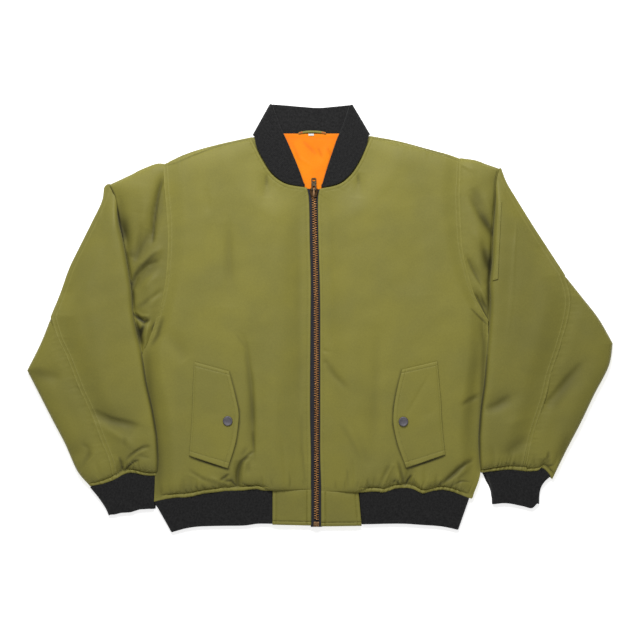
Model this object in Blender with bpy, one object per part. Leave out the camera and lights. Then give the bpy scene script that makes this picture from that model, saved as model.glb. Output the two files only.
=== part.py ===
"""A padded bomber jacket laid flat on its back, front up and zipped, at its real size.

The jacket's centre is the origin, +Z points up from the surface it lies on, and +Y runs from the
hem to the collar. The tables below are in millimetres. Left and right are the wearer's, so the
right side of the jacket is at -X. Each piece is one that a maker would cut: a padded panel is
ruled between two named seam lines, a knit band is a wall that runs through named sections, and
what lies on a panel follows the panel's own surface.
"""

import math
from collections import namedtuple

import bmesh
import bpy
import numpy as np
from mathutils import Vector
from mathutils.bvhtree import BVHTree

MM = 0.001
SEAM_GAP = 0.3
SEAM_INSET = 0.2
FOLD_INSET = 0.5

# The back layer fills the height up to LAYER, and the front layer starts a seam gap above it.
LAYER = 7.0
FRONT_BASE = LAYER + SEAM_GAP
BACK_EDGE = 4.5
BODY_FULL = 13.5
SLEEVE_FULL = 17.5
ELBOW_FULL = 12.5
CAP_FULL = 11.5
LEAST_WALL = 2.5

LINING_THICK = 1.5
LINING_TOP = FRONT_BASE + LINING_THICK
TAPE_THICK = 1.6
CHAIN_WIDE = 9.3
CHAIN_THICK = 3.0
CHAIN_BASE = FRONT_BASE + TAPE_THICK + SEAM_GAP

KNIT_WALL = 3.0
HEM_GAP = 0.9
BLOCK_THICK = 6.0
BLOCK_FLOOR = 6.0
COLLAR_WALL = 3.6
# The middle of a knit wall, at the two ends of a flat stretch: on top at the seam and at the free
# edge, and below.
KNIT_SEAM_HEIGHT = (8.9, 8.9)
KNIT_EDGE_HEIGHT = (6.3, 6.3)
KNIT_LOW = (KNIT_WALL / 2, KNIT_WALL / 2)
COLLAR_SEAM_HEIGHT = (11.2, 11.2)
COLLAR_EDGE_HEIGHT = (12.6, 9.6)
COLLAR_BACK_SEAM = (5.0, 5.0)
COLLAR_BACK_EDGE = (COLLAR_WALL / 2, COLLAR_WALL / 2)
FLAP_THICK = 2.4
FLAP_LIFT = 0.8
POCKET_THICK = 1.5
SNAP_RADIUS = 8.3
# A snap's cap: radius and height, round its rim and its dished middle.
SNAP_PROFILE = [
    (0, 0), (SNAP_RADIUS, 0), (SNAP_RADIUS, 1.1), (7.2, 2.3), (5.2, 2.8), (4.4, 2.3), (0, 2.3),
]

# How far from its first and last rows a panel's rows bend to follow the lines there.
END_REACH = 45
# The share of its height that a fold keeps at its two ends.
FOLD_TAIL = 0.45

# The seam lines, from the collar end to the hem or cuff end, read as (x, y).
NECKLINE = {
    "right": [
        (-117, 306), (-108, 289), (-97, 268), (-81, 245), (-57, 229), (-22, 223),
    ],
    "left": [
        (86, 309), (78, 290), (67, 266), (52, 244), (31, 228), (-1, 221),
    ],
}
ARMHOLE = {
    "right": [
        (-266, 262.5), (-263, 222), (-259, 186), (-255, 148), (-256, 107), (-262, 65), (-271, 22),
        (-277, 0),
    ],
    "left": [
        (239, 272), (235, 235), (234, 206), (236, 157), (239, 118), (247, 84), (262, 38),
        (284, -1),
    ],
}
SIDE = {
    "right": [
        (-287, -33), (-299, -62), (-297, -111), (-288, -155), (-281, -200), (-276, -252),
        (-277, -311),
    ],
    "left": [
        (283, -33), (281, -70), (277, -115), (271, -158), (268, -205), (269, -262), (257, -305),
    ],
}
ZIP_EDGE = {
    "right": [
        (-18, 178), (-15, 118), (-14, 62), (-14, 10), (-14, -50), (-14, -110), (-14, -170),
        (-14, -232), (-15, -291),
    ],
    "left": [
        (-4, 178), (-1.5, 118), (-0.5, 62), (0, 10), (0, -50), (0, -110), (0, -170), (0, -232),
        (2, -294),
    ],
}
FOLD_LINE = {
    "right": [
        (-360, 226), (-351, 207), (-345, 172), (-335, 131), (-328, 93), (-321, 49), (-318, 10),
        (-311, -27), (-303.5, -60), (-298.5, -111), (-289.5, -155), (-282.5, -200), (-279, -240),
        (-278.5, -266),
    ],
    "left": [
        (305, 254), (300, 232), (299, 200), (295, 150), (293, 100), (289, 60), (290, 26),
        (288, -10), (283.5, -62), (279.3, -111), (273.3, -155), (270, -200), (271, -235), (274, -261),
    ],
}
SLEEVE_OUTER = {
    "right": [
        (-366, 224), (-370, 200), (-387, 165), (-407, 125), (-426, 86), (-441, 44), (-457, 3),
        (-475, -42), (-498, -88), (-477, -129), (-455, -172), (-433, -214), (-413, -258),
        (-391, -284),
    ],
    "left": [
        (309, 252), (318, 230), (336, 200), (362, 158), (386, 121), (415, 75), (446, 36),
        (474, 0), (498, -42), (491, -81), (466, -130), (444, -176), (419, -224), (395, -273),
    ],
}
ELBOW_SEAM = {
    "right": [
        (-457, 3), (-446, -32), (-430, -66), (-411, -114), (-389, -163), (-372, -207),
        (-359, -240), (-352, -274),
    ],
    "left": [
        (415, 75), (425, 36), (421, 0), (408, -46), (393, -91), (383, -132), (367, -182),
        (358, -217), (350, -258),
    ],
}
SHOULDER = {
    "right": [(-266, 262.5), (-240, 273), (-213, 283.5), (-170, 296), (-117, 307)],
    "left": [(239, 272), (226, 275.5), (188, 286.5), (170, 291.5), (86, 310)],
}
HEAD_LINE = {
    "right": [(-360, 226), (-351, 230), (-319, 245), (-307, 251.5), (-280, 262), (-266, 262.5)],
    "left": [(305, 254), (298, 256.5), (282, 262), (264, 268.5), (239, 272)],
}
HEM_SEAM = {
    "right": [
        (-277, -311), (-248, -305), (-220, -302.5), (-195, -298), (-169, -295), (-132, -293),
        (-105, -290.5), (-81, -291.5), (-48, -292), (-15, -291),
    ],
    "left": [
        (257, -305), (241, -299.5), (204, -293), (180, -293.5), (158, -291.5), (140, -290.5),
        (114, -292.5), (67, -295.5), (34, -295), (2, -294),
    ],
}
HEM_BACK = [
    (-277, -311), (-220, -304), (-160, -298), (-80, -295), (0, -295), (90, -296), (180, -298),
    (257, -305),
]
CUFF_SEAM = {
    "right": [(-352, -274), (-337, -266), (-321, -262), (-302, -265), (-278.5, -266)],
    "left": [(350, -258), (327, -256), (300, -257), (274, -261)],
}
ELBOW_END = {
    "right": [(-391, -284), (-369, -280), (-352, -274)],
    "left": [(395, -273), (388, -263), (375, -257), (362, -258), (350, -258)],
}
CUFF_BACK = {
    "right": [(-391, -284), (-352, -272), (-321, -262), (-278.5, -264)],
    "left": [(395, -273), (372, -255), (327, -254), (274, -258)],
}
# The sleeve's head reaches this many rows of the fold line, and the elbow seam starts at this
# row of the sleeve's outer line.
HEAD_ROWS = {"right": 9, "left": 8}
ELBOW_ROW = {"right": 6, "left": 5}
ELBOW_TIP = 0.15

# The zip's centre line and its tapes' outer edges at the same heights: y, tape at the wearer's
# right, centre, tape at the wearer's left.
ZIP_ROWS = [
    (222, -21, -11, -2),
    (205, -19.3, -10.2, -3.4),
    (178, -17.5, -9.4, -4.4),
    (118, -14.5, -8.1, -2),
    (62, -13.5, -7.2, -1),
    (10, -13.5, -6.5, -0.5),
    (-110, -13.5, -6, -0.5),
    (-232, -13.5, -6, -0.5),
    (-351, -14.2, -6.2, 1.2),
]

# The collar's neck seam and free edge: x and y of the seam, then x and y of the edge.
COLLAR_RIGHT = [
    (-29, 225.2, -27, 230),
    (-57, 230, -35, 252),
    (-80.5, 246.5, -46, 279),
    (-96, 269.5, -57, 304),
    (-107, 290, -69, 331),
    (-111, 307, -82, 359),
]
COLLAR_LEFT = [
    (6, 222.5, 4, 228),
    (31, 229.5, 12, 256),
    (51.5, 245.5, 21, 283),
    (66, 267.5, 29, 306),
    (77.5, 290, 39.5, 331),
    (82, 308, 50.5, 357.5),
]
COLLAR_BACK = [
    (-110, 313.5, -82, 363),
    (-70, 315, -50, 362),
    (-15, 315, -10, 360.5),
    (35, 315.5, 20, 361.5),
    (80.5, 314.5, 51, 362),
]

# The hem band's seam edge and free edge, from the end block round to the side fold.
HEM_FREE = {
    "right": [
        (-81, -349), (-106, -349), (-129, -352), (-165, -352.5), (-188, -353), (-209, -354),
        (-229, -357), (-249, -362.5),
    ],
    "left": [
        (72, -350), (94, -349.5), (114, -349), (143, -349), (174, -351), (197, -352.5),
        (213, -354.5), (231.5, -358.5),
    ],
}
HEM_SPAN = {"right": (-81.8, -267.5), "left": (66.8, 249.5)}

# The olive blocks at the hem's front: corners at the seam, then at the free edge, each the far one
# and the one by the zip.
BLOCK_CORNERS = {
    "right": [(-81, -292.4), (-15.5, -292.2), (-81, -349.5), (-15.5, -350.5)],
    "left": [(66, -296.2), (2.5, -294.6), (71, -351.5), (2.5, -352)],
}

# The cuffs, from the sleeve's outer side to its inner side: x at the seam, how far the seam edge
# lies below the sleeve's end, then x and y of the free edge.
CUFF_RIGHT = [
    (-385, 2.4, -354.5, -332.5),
    (-368, 0.9, -345, -331.5),
    (-350, 0.9, -332, -330),
    (-335, 0.9, -318, -328),
    (-319, 0.9, -306, -325.5),
    (-303, 0.9, -299, -324.5),
    (-291, 1.7, -293.5, -323.5),
]
CUFF_LEFT = [
    (384, 4.6, 366, -314),
    (374, 2.2, 358, -321),
    (358, 1.2, 347, -319.5),
    (343, 0.9, 335, -317),
    (328, 0.9, 325, -315),
    (311, 0.9, 312, -314.5),
    (295, 1.5, 298.5, -316),
]

FLAP_ROWS = {
    "right": [
        (-213, -73, -154, -89),
        (-215, -108, -145, -124),
        (-216, -140, -138, -156),
        (-217, -165, -138, -176),
        (-219, -197, -143, -211),
        (-222, -234, -156, -254),
    ],
    "left": [
        (199, -72, 139, -86),
        (202, -108, 130.5, -120),
        (205, -140, 125, -152),
        (206, -165, 124.5, -180),
        (208, -197, 131, -214),
        (211, -232, 144, -253.5),
    ],
}
SNAP_PLACE = {"right": (-156, -173), "left": (141, -174)}
ARM_POCKET_ROWS = [
    (308, 199, 301.5, 200),
    (306, 173, 299.5, 173),
    (303.5, 124, 296.5, 124),
    (301, 67, 291.5, 64),
]
LINING_ROWS = [
    (-70, 313.4, 39, 313.4),
    (-54, 277, 28, 277),
    (-42, 248, 17, 248),
    (-26, 228, 1, 227),
    (-20.5, 223.4, -1.6, 222.8),
]
NECK_TAG_AT = (-15, 310.6)
LOOP_ENDS = (-36, 8)

# Folds of the padded cloth: where each starts and ends, its half width and its height, which is
# below zero for a trough.
Fold = namedtuple("Fold", "x1 y1 x2 y2 half height")
FRONT_FOLDS = {
    "right": [
        Fold(-116, -40, -114, -250, 18, -2.4),
        Fold(-92, -60, -90, -240, 16, 1.2),
        Fold(-138, -240, -143, -296, 12, -5),
        Fold(-162, -262, -168, -296, 10, -3),
        Fold(-215, -268, -222, -298, 12, -3),
        Fold(-90, 248, -92, 205, 10, -2.2),
        Fold(-155, 160, -156, 20, 24, -1.6),
        Fold(-190, 215, -214, 60, 26, 1.2),
        Fold(-38, 190, -37, -210, 14, -1.4),
        Fold(-262, -20, -226, -70, 16, -2.4),
    ],
    "left": [
        Fold(152, -246, 152, -292, 12, -5),
        Fold(268, -238, 214, -284, 14, -4),
        Fold(122, -250, 118, -294, 12, -3),
        Fold(66, 248, 64, 205, 10, -2.2),
        Fold(92, -30, 86, -250, 20, -2),
        Fold(14, 190, 15, -210, 12, -1.4),
        Fold(150, 190, 168, 40, 26, -1.6),
        Fold(268, -40, 258, -220, 18, -2.8),
        Fold(196, 210, 204, 90, 24, 1.2),
    ],
}
HEAD_FOLDS = {
    "right": [
        Fold(-266, 238, -284, 140, 11, -4.5),
        Fold(-288, 150, -312, 98, 12, -3.5),
        Fold(-276, 98, -318, 52, 11, -4.5),
        Fold(-334, 150, -330, 112, 12, -3),
        Fold(-300, 230, -306, 180, 16, 1.5),
        Fold(-290, 60, -280, 20, 12, 1.5),
        Fold(-320, 10, -290, -6, 9, -4.5),
    ],
    "left": [
        Fold(259, 222, 288, 155, 12, -3.5),
        Fold(250, 100, 284, 56, 10, -4),
        Fold(256, 49, 286, 10, 9, -3.5),
        Fold(262, 190, 272, 120, 16, 1.5),
    ],
}
SLEEVE_FOLDS = {
    "right": [
        Fold(-390, -152, -300, -195, 18, -3),
        Fold(-337, -240, -340, -270, 10, -4),
        Fold(-288, -214, -322, -244, 13, -3),
        Fold(-400, 60, -370, -100, 30, 1.5),
        Fold(-372, 175, -362, 95, 14, -1.2),
    ],
    "left": [
        Fold(278, -150, 326, -134, 14, -3),
        Fold(304, -232, 356, -200, 15, -3),
        Fold(396, 60, 350, -90, 30, 1.5),
        Fold(322, 165, 318, -20, 10, -1),
    ],
}
ELBOW_FOLDS = {
    "right": [Fold(-440, -235, -388, -215, 16, -2.5), Fold(-494, -90, -440, -100, 20, -2)],
    "left": [Fold(384, -150, 446, -80, 18, -2.8), Fold(378, -236, 380, -264, 10, -3.5)],
}

# A piece's ruled edges, inner and outer lines paired row by row, with the wall's height at each.
Panel = namedtuple("Panel", "outer inner outer_height inner_height full")


def spline(points, t, corners=()):
    """The point of a smooth line through the given ones, at t counted in points. It turns
    sharply at the numbered corners."""
    last = len(points) - 1
    start = min(int(t), last - 1)
    part = t - start
    here, there = np.array(points[start], float), np.array(points[start + 1], float)

    def slope(at):
        if at in (0, last, *corners):
            return there - here
        return (np.array(points[at + 1], float) - np.array(points[at - 1], float)) / 2

    cube, square = part**3, part**2
    return (
        (2 * cube - 3 * square + 1) * here
        + (cube - 2 * square + part) * slope(start)
        + (3 * square - 2 * cube) * there
        + (cube - square) * slope(start + 1)
    )


def along(points, share):
    """The point at this share of a line's length."""
    steps = np.linalg.norm(np.diff(np.array(points, float), axis=0), axis=1)
    reached = np.concatenate([[0], np.cumsum(steps)])
    at = np.interp(share * reached[-1], reached, np.arange(len(points)))
    return spline(points, at)


def stations(count):
    """Where a panel's rows lie, counted in points of its edges: close by its two ends, where the
    padding rises, and one between each two points elsewhere."""
    near = [0.12, 0.3, 0.6]
    middle = [at / 2 for at in range(2, 2 * (count - 2) + 1)]
    last = count - 1
    return sorted([0, *near, *middle, *(last - at for at in near), last])


def spread(width, insets, between):
    """Where a panel's columns lie across it, as shares of its width."""
    outer = [0, *(inset / width for inset in insets)]
    inner = [1 - share for share in reversed(outer)]
    gap = inner[0] - outer[-1]
    return [*outer, *(outer[-1] + gap * k / between for k in range(1, between)), *inner]


def rise(distance, width):
    """A quarter round, from 0 at a seam to 1 at this distance from it."""
    reach = min(max(distance / width, 0), 1)
    return math.sqrt(1 - (1 - reach) ** 2)


def fold_height(folds, x, y):
    """How far the folds lift or lower the cloth here. Each fades out towards its two ends."""
    total = 0
    for fold in folds:
        run = Vector((fold.x2 - fold.x1, fold.y2 - fold.y1))
        place = Vector((x - fold.x1, y - fold.y1))
        share = place.dot(run) / run.length_squared
        nearest = min(max(share, 0), 1)
        off = (place - run * nearest).length / fold.half
        fade = FOLD_TAIL + (1 - FOLD_TAIL) * math.sin(math.pi * nearest)
        total += fold.height * math.exp(-(off**2)) * fade
    return total


def material(name, red_green_blue, roughness, metallic=0.0):
    made = bpy.data.materials.new(name)
    made.use_nodes = True
    shader = made.node_tree.nodes["Principled BSDF"]
    shader.inputs["Base Color"].default_value = (*red_green_blue, 1)
    shader.inputs["Roughness"].default_value = roughness
    shader.inputs["Metallic"].default_value = metallic
    return made


def add_object(name, mesh_maker, finish, smooth=True):
    """A named object of one piece, in metres, with its faces pointing out."""
    bmesh.ops.recalc_face_normals(mesh_maker, faces=mesh_maker.faces[:])
    if mesh_maker.calc_volume(signed=True) < 0:
        bmesh.ops.reverse_faces(mesh_maker, faces=mesh_maker.faces[:])
    bmesh.ops.scale(mesh_maker, vec=(MM, MM, MM), verts=mesh_maker.verts[:])
    mesh = bpy.data.meshes.new(name)
    mesh_maker.to_mesh(mesh)
    mesh_maker.free()
    mesh.materials.append(finish)
    if smooth:
        mesh.shade_smooth()
        mesh.set_sharp_from_angle(angle=math.radians(50))
    piece = bpy.data.objects.new(name, mesh)
    bpy.context.scene.collection.objects.link(piece)
    piece.parent = jacket
    return piece


def wall(top_points, bottom_points, closed=False):
    """A closed wall between two grids of points, each a row of rows, as a bmesh. A closed wall's
    last row meets its first."""
    rows, columns = len(top_points), len(top_points[0])
    made = bmesh.new()
    bmesh.ops.create_grid(made, x_segments=rows - 1, y_segments=columns - 1, size=0.5)
    place = made.verts.layers.int.new("place")
    for vert in made.verts:
        row, column = round((vert.co.x + 0.5) * (rows - 1)), round((vert.co.y + 0.5) * (columns - 1))
        vert[place] = row * columns + column
    lower = bmesh.ops.extrude_face_region(made, geom=made.faces[:])["geom"]
    below = {item for item in lower if isinstance(item, bmesh.types.BMVert)}
    for vert in made.verts:
        row, column = divmod(vert[place], columns)
        vert.co = (bottom_points if vert in below else top_points)[row][column]
    if closed:
        ends = {0, rows - 1}
        walls = [f for f in made.faces if len({v[place] // columns for v in f.verts}) == 1]
        walls = [f for f in walls if f.verts[0][place] // columns in ends]
        bmesh.ops.delete(made, geom=walls, context="FACES")
        bmesh.ops.remove_doubles(made, verts=made.verts[:], dist=0.001)
    return made


def pad(name, finish, panel, floor, folds=(), columns=(6, (2.5, 7, 14, 24)), **shape):
    """A padded piece of cloth. Its underside lies on floor, a height or a function of x and y,
    and its top swells from its seams to its full height.

    rolls: how far the padding takes to rise, from the outer line, the inner line, the first row
    and the last row. ends: the share of its height that it keeps at its first and last rows.
    margins: the width held flat by stitching along those four edges. lines: curves that the first
    and last rows follow. insets: how far the outer and inner lines are moved inwards.
    outer_corners and inner_corners: those lines' sharp points."""
    rolls = shape.get("rolls", (30, 30, 30, 30))
    ends = shape.get("ends", (0.4, 0.4))
    margins = shape.get("margins", (0, 0, 0, 0))
    lines = shape.get("lines", (None, None))
    insets = shape.get("insets", (SEAM_INSET, SEAM_INSET))
    outer_corners, inner_corners = shape.get("outer_corners", ()), shape.get("inner_corners", ())
    end_gaps = shape.get("end_gaps", (0, 0))
    between, near = columns
    last = len(panel.outer) - 1
    spans = [math.dist(a, b) for a, b in zip(panel.outer, panel.inner)]
    shares = spread(sorted(spans)[len(spans) // 2], near, between)
    rows_at = stations(len(panel.outer))
    edge_rows = [
        (spline(panel.outer, t, outer_corners), spline(panel.inner, t, inner_corners))
        for t in rows_at
    ]
    middles = [(a + b) / 2 for a, b in edge_rows]
    steps = [np.linalg.norm(b - a) for a, b in zip(middles, middles[1:])]
    reached = np.concatenate([[0], np.cumsum(steps)])
    tops, bottoms = [], []
    for t, from_start, (outer, inner) in zip(rows_at, reached, edge_rows):
        across = inner - outer
        width = np.linalg.norm(across)
        unit = across / width
        outer, inner = outer + unit * insets[0], inner - unit * insets[1]
        to_end = reached[-1] - from_start
        start_share = ends[0] + (1 - ends[0]) * rise(from_start - margins[2], rolls[2])
        end_share = ends[1] + (1 - ends[1]) * rise(to_end - margins[3], rolls[3])
        at = min(int(t), last - 1)
        outer_height, inner_height, full = (
            np.interp(t, (at, at + 1), (values[at], values[at + 1]))
            for values in (panel.outer_height, panel.inner_height, panel.full)
        )
        top_row, bottom_row = [], []
        for share in shares:
            point = outer + (inner - outer) * share
            for line, far, gap, toward in (
                (lines[0], from_start, end_gaps[0], -1),
                (lines[1], to_end, end_gaps[1], 1),
            ):
                if line is None:
                    continue
                ends_row = edge_rows[0 if toward < 0 else -1]
                straight = ends_row[0] + (ends_row[1] - ends_row[0]) * share
                fade = math.exp(-((far / END_REACH) ** 2))
                point = point + (along(line, share) - straight + (0, gap * toward * -1)) * fade
            x, y = point
            from_outer, from_inner = share * width, (1 - share) * width
            height = full
            height -= (full - outer_height) * (1 - rise(from_outer - margins[0], rolls[0]))
            height -= (full - inner_height) * (1 - rise(from_inner - margins[1], rolls[1]))
            height *= start_share * end_share
            height += fold_height(folds, x, y) * min(1, height / (0.6 * full))
            height = max(height, LEAST_WALL if folds else 0.2)
            low = floor(x, y) if callable(floor) else floor
            top_row.append((x, y, low + height))
            bottom_row.append((x, y, low))
        tops.append(top_row)
        bottoms.append(bottom_row)
    made = wall(tops, bottoms)
    if not callable(floor):
        flat = [f for f in made.faces if all(abs(v.co.z - floor) < 0.0001 for v in f.verts)]
        bmesh.ops.dissolve_faces(made, faces=flat)
    return add_object(name, made, finish)


def flat_pad(name, finish, panel, floor, thickness, edge, roll, **shape):
    """A layer with a flat top that others lie on, and with edges that round down to edge."""
    low = panel._replace(
        outer_height=[edge] * len(panel.outer),
        inner_height=[edge] * len(panel.outer),
        full=[thickness] * len(panel.outer),
    )
    piece = pad(
        name,
        finish,
        low,
        floor,
        rolls=(roll, roll, roll, roll),
        ends=(edge / thickness, edge / thickness),
        **shape,
    )
    made = bmesh.new()
    made.from_mesh(piece.data)
    top = (floor + thickness) * MM
    level = [f for f in made.faces if all(abs(v.co.z - top) < 1e-7 for v in f.verts)]
    bmesh.ops.dissolve_faces(made, faces=level)
    made.to_mesh(piece.data)
    made.free()
    return piece


def panel_of(outer, inner, outer_height, inner_height, full):
    """A Panel whose heights are the same in each row, unless a list is given."""
    count = len(outer)
    lists = [v if isinstance(v, list) else [v] * count for v in (outer_height, inner_height, full)]
    return Panel(outer, inner, *lists)


def surface_of(piece):
    """A function that gives the height of a piece's upper surface at x and y, in millimetres."""
    mesh = bmesh.new()
    mesh.from_mesh(piece.data)
    tree = BVHTree.FromBMesh(mesh)
    mesh.free()

    def height(x, y):
        hit = tree.ray_cast(Vector((x * MM, y * MM, 1)), Vector((0, 0, -1)))[0]
        return hit.z / MM

    return height


def stretch(rows, seam_height, free_height, steps=2):
    """Sections of a knit band that lies flat: rows of seam x and y, then edge x and y. Each
    section is the seam point and the edge point of the wall's middle."""
    count = steps * (len(rows) - 1)
    sections = []
    for k in range(count + 1):
        t = k / steps
        share = k / count
        seam_x, seam_y, free_x, free_y = spline(rows, t)
        seam_z = seam_height[0] + (seam_height[1] - seam_height[0]) * share
        free_z = free_height[0] + (free_height[1] - free_height[0]) * share
        sections.append((Vector((seam_x, seam_y, seam_z)), Vector((free_x, free_y, free_z))))
    return sections


def turn(before, after, inside):
    """The sections of a band's rounded fold, between the flat sections before and after it, which
    lie above each other. inside is a point on the band's side of the fold."""
    made = []
    for degrees in (30, 60, 90, 120, 150):
        angle = math.radians(degrees)
        edge = before[1] - before[0]
        out = Vector((edge.y, -edge.x, 0)).normalized()
        if out.dot(Vector((*inside, 0)) - before[0]) > 0:
            out = -out
        section = []
        for first, second in zip(before, after):
            middle, reach = (first + second) / 2, (first.z - second.z) / 2
            point = Vector((middle.x, middle.y, middle.z + reach * math.cos(angle)))
            section.append(point + out * abs(reach) * math.sin(angle))
        made.append(tuple(section))
    return made


def band(name, finish, sections, thickness, columns=4, closed=False, edge_share=0.7):
    """A knit wall of even thickness that runs through its sections. Its free edge, where the knit
    is folded, and its seam edge are thinner."""
    count = len(sections)
    shares = [0, 0.08, *(k / columns for k in range(1, columns)), 0.92, 1]
    middles = [[seam.lerp(free, share) for share in shares] for seam, free in sections]
    outsides, insides = [], []
    for i, row in enumerate(middles):
        if closed:
            before, after = middles[(i - 1) % count], middles[(i + 1) % count]
        else:
            before, after = middles[max(i - 1, 0)], middles[min(i + 1, count - 1)]
        outside, inside = [], []
        for j, point in enumerate(row):
            run = after[j] - before[j]
            across = sections[i][1] - sections[i][0]
            normal = run.cross(across).normalized()
            at_edge = j in (0, len(row) - 1)
            half = thickness / 2 * (edge_share if at_edge else 1)
            outside.append(point + normal * half)
            inside.append(point - normal * half)
        outsides.append(outside)
        insides.append(inside)
    if closed:
        outsides.append(outsides[0])
        insides.append(insides[0])
    return add_object(name, wall(outsides, insides, closed), finish)


def sweep(name, finish, rows, low, high, crown=0.0):
    """A flat strip between two edges, given as rows of y, left x and right x."""
    tops, bottoms = [], []
    for y, left, right in rows:
        middle = (left + right) / 2
        across = [left, middle, right] if crown else [left, right]
        lifts = [0, crown, 0] if crown else [0, 0]
        tops.append([(x, y, high + lift) for x, lift in zip(across, lifts)])
        bottoms.append([(x, y, low) for x in across])
    return add_object(name, wall(tops, bottoms), finish)


def oblong(left, right, near, far):
    """The outline of a rectangle."""
    return [(left, near), (right, near), (right, far), (left, far)]


def block(outline, low, high, bevel_width=0.0):
    """A prism over an outline of x and y, with its upright and top edges rounded, as a bmesh."""
    made = bmesh.new()
    face = made.faces.new([made.verts.new((x, y, low)) for x, y in outline])
    upper = bmesh.ops.extrude_face_region(made, geom=[face])["geom"]
    raised = [item for item in upper if isinstance(item, bmesh.types.BMVert)]
    bmesh.ops.translate(made, vec=(0, 0, high - low), verts=raised)
    if bevel_width:
        edges = [e for e in made.edges if max(v.co.z for v in e.verts) > low + 0.001]
        bmesh.ops.bevel(
            made,
            geom=edges,
            offset=bevel_width,
            segments=2,
            profile=0.5,
            affect="EDGES",
            material=-1,
        )
    return made


def turned(profile, place, sides):
    """A round body: a profile of radius and height, spun about an upright axis."""
    made = bmesh.new()
    points = [made.verts.new((radius, 0, height)) for radius, height in profile]
    edges = [made.edges.new(pair) for pair in zip(points, points[1:])]
    bmesh.ops.spin(
        made,
        geom=[*points, *edges],
        cent=(0, 0, 0),
        axis=(0, 0, 1),
        angle=2 * math.pi,
        steps=sides,
        use_merge=True,
    )
    bmesh.ops.remove_doubles(made, verts=made.verts[:], dist=0.001)
    bmesh.ops.translate(made, vec=place, verts=made.verts[:])
    return made


def combine(piece, other, operation):
    """Joins another object to a piece, or cuts it away, and hides the other."""
    other.hide_render = True
    other.display_type = "WIRE"
    change = piece.modifiers.new(other.name, "BOOLEAN")
    change.object = other
    change.operation = operation
    change.solver = "EXACT"


for old in list(bpy.data.objects):
    bpy.data.objects.remove(old, do_unlink=True)

jacket = bpy.data.objects.new("jacket", None)
bpy.context.scene.collection.objects.link(jacket)

shell = material("olive_nylon", (0.25, 0.235, 0.045), 0.55)
knit = material("black_rib_knit", (0.022, 0.022, 0.022), 0.9)
orange = material("orange_lining", (1.0, 0.27, 0.012), 0.5)
tape_cloth = material("zip_tape", (0.018, 0.018, 0.025), 0.85)
brass = material("aged_brass", (0.24, 0.12, 0.05), 0.4, 1.0)
snap_metal = material("dark_snap", (0.12, 0.115, 0.12), 0.4, 0.9)
white = material("white_tag", (0.8, 0.8, 0.78), 0.7)

# The back panel, which the jacket lies on: shoulders, armholes and sides down to the hem.
NECK_BACK = {"right": (-118, 309), "left": (87, 311)}
SHOULDER_BACK = {
    "right": [(-168, 298), (-213, 286), (-241, 275.5)],
    "left": [(133, 302.5), (186, 288.5), (224, 278)],
}
back_edges = {
    side: [NECK_BACK[side], *SHOULDER_BACK[side], *ARMHOLE[side], *SIDE[side]]
    for side in ("right", "left")
}
flat_pad(
    "back_panel",
    shell,
    panel_of(back_edges["right"], back_edges["left"], 0, 0, 0),
    0,
    LAYER,
    BACK_EDGE,
    7,
    columns=(12, (3, 7.5)),
    lines=(None, HEM_BACK),
    insets=(SEAM_GAP, SEAM_GAP),
    outer_corners=(4, 11),
    inner_corners=(4, 11),
)

# The back's lining, where the neck shows it.
flat_pad(
    "back_lining",
    orange,
    panel_of([r[:2] for r in LINING_ROWS], [r[2:] for r in LINING_ROWS], 0, 0, 0),
    FRONT_BASE,
    LINING_THICK,
    1.2,
    1,
    columns=(2, (1.2,)),
    insets=(0, 0),
)

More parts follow.
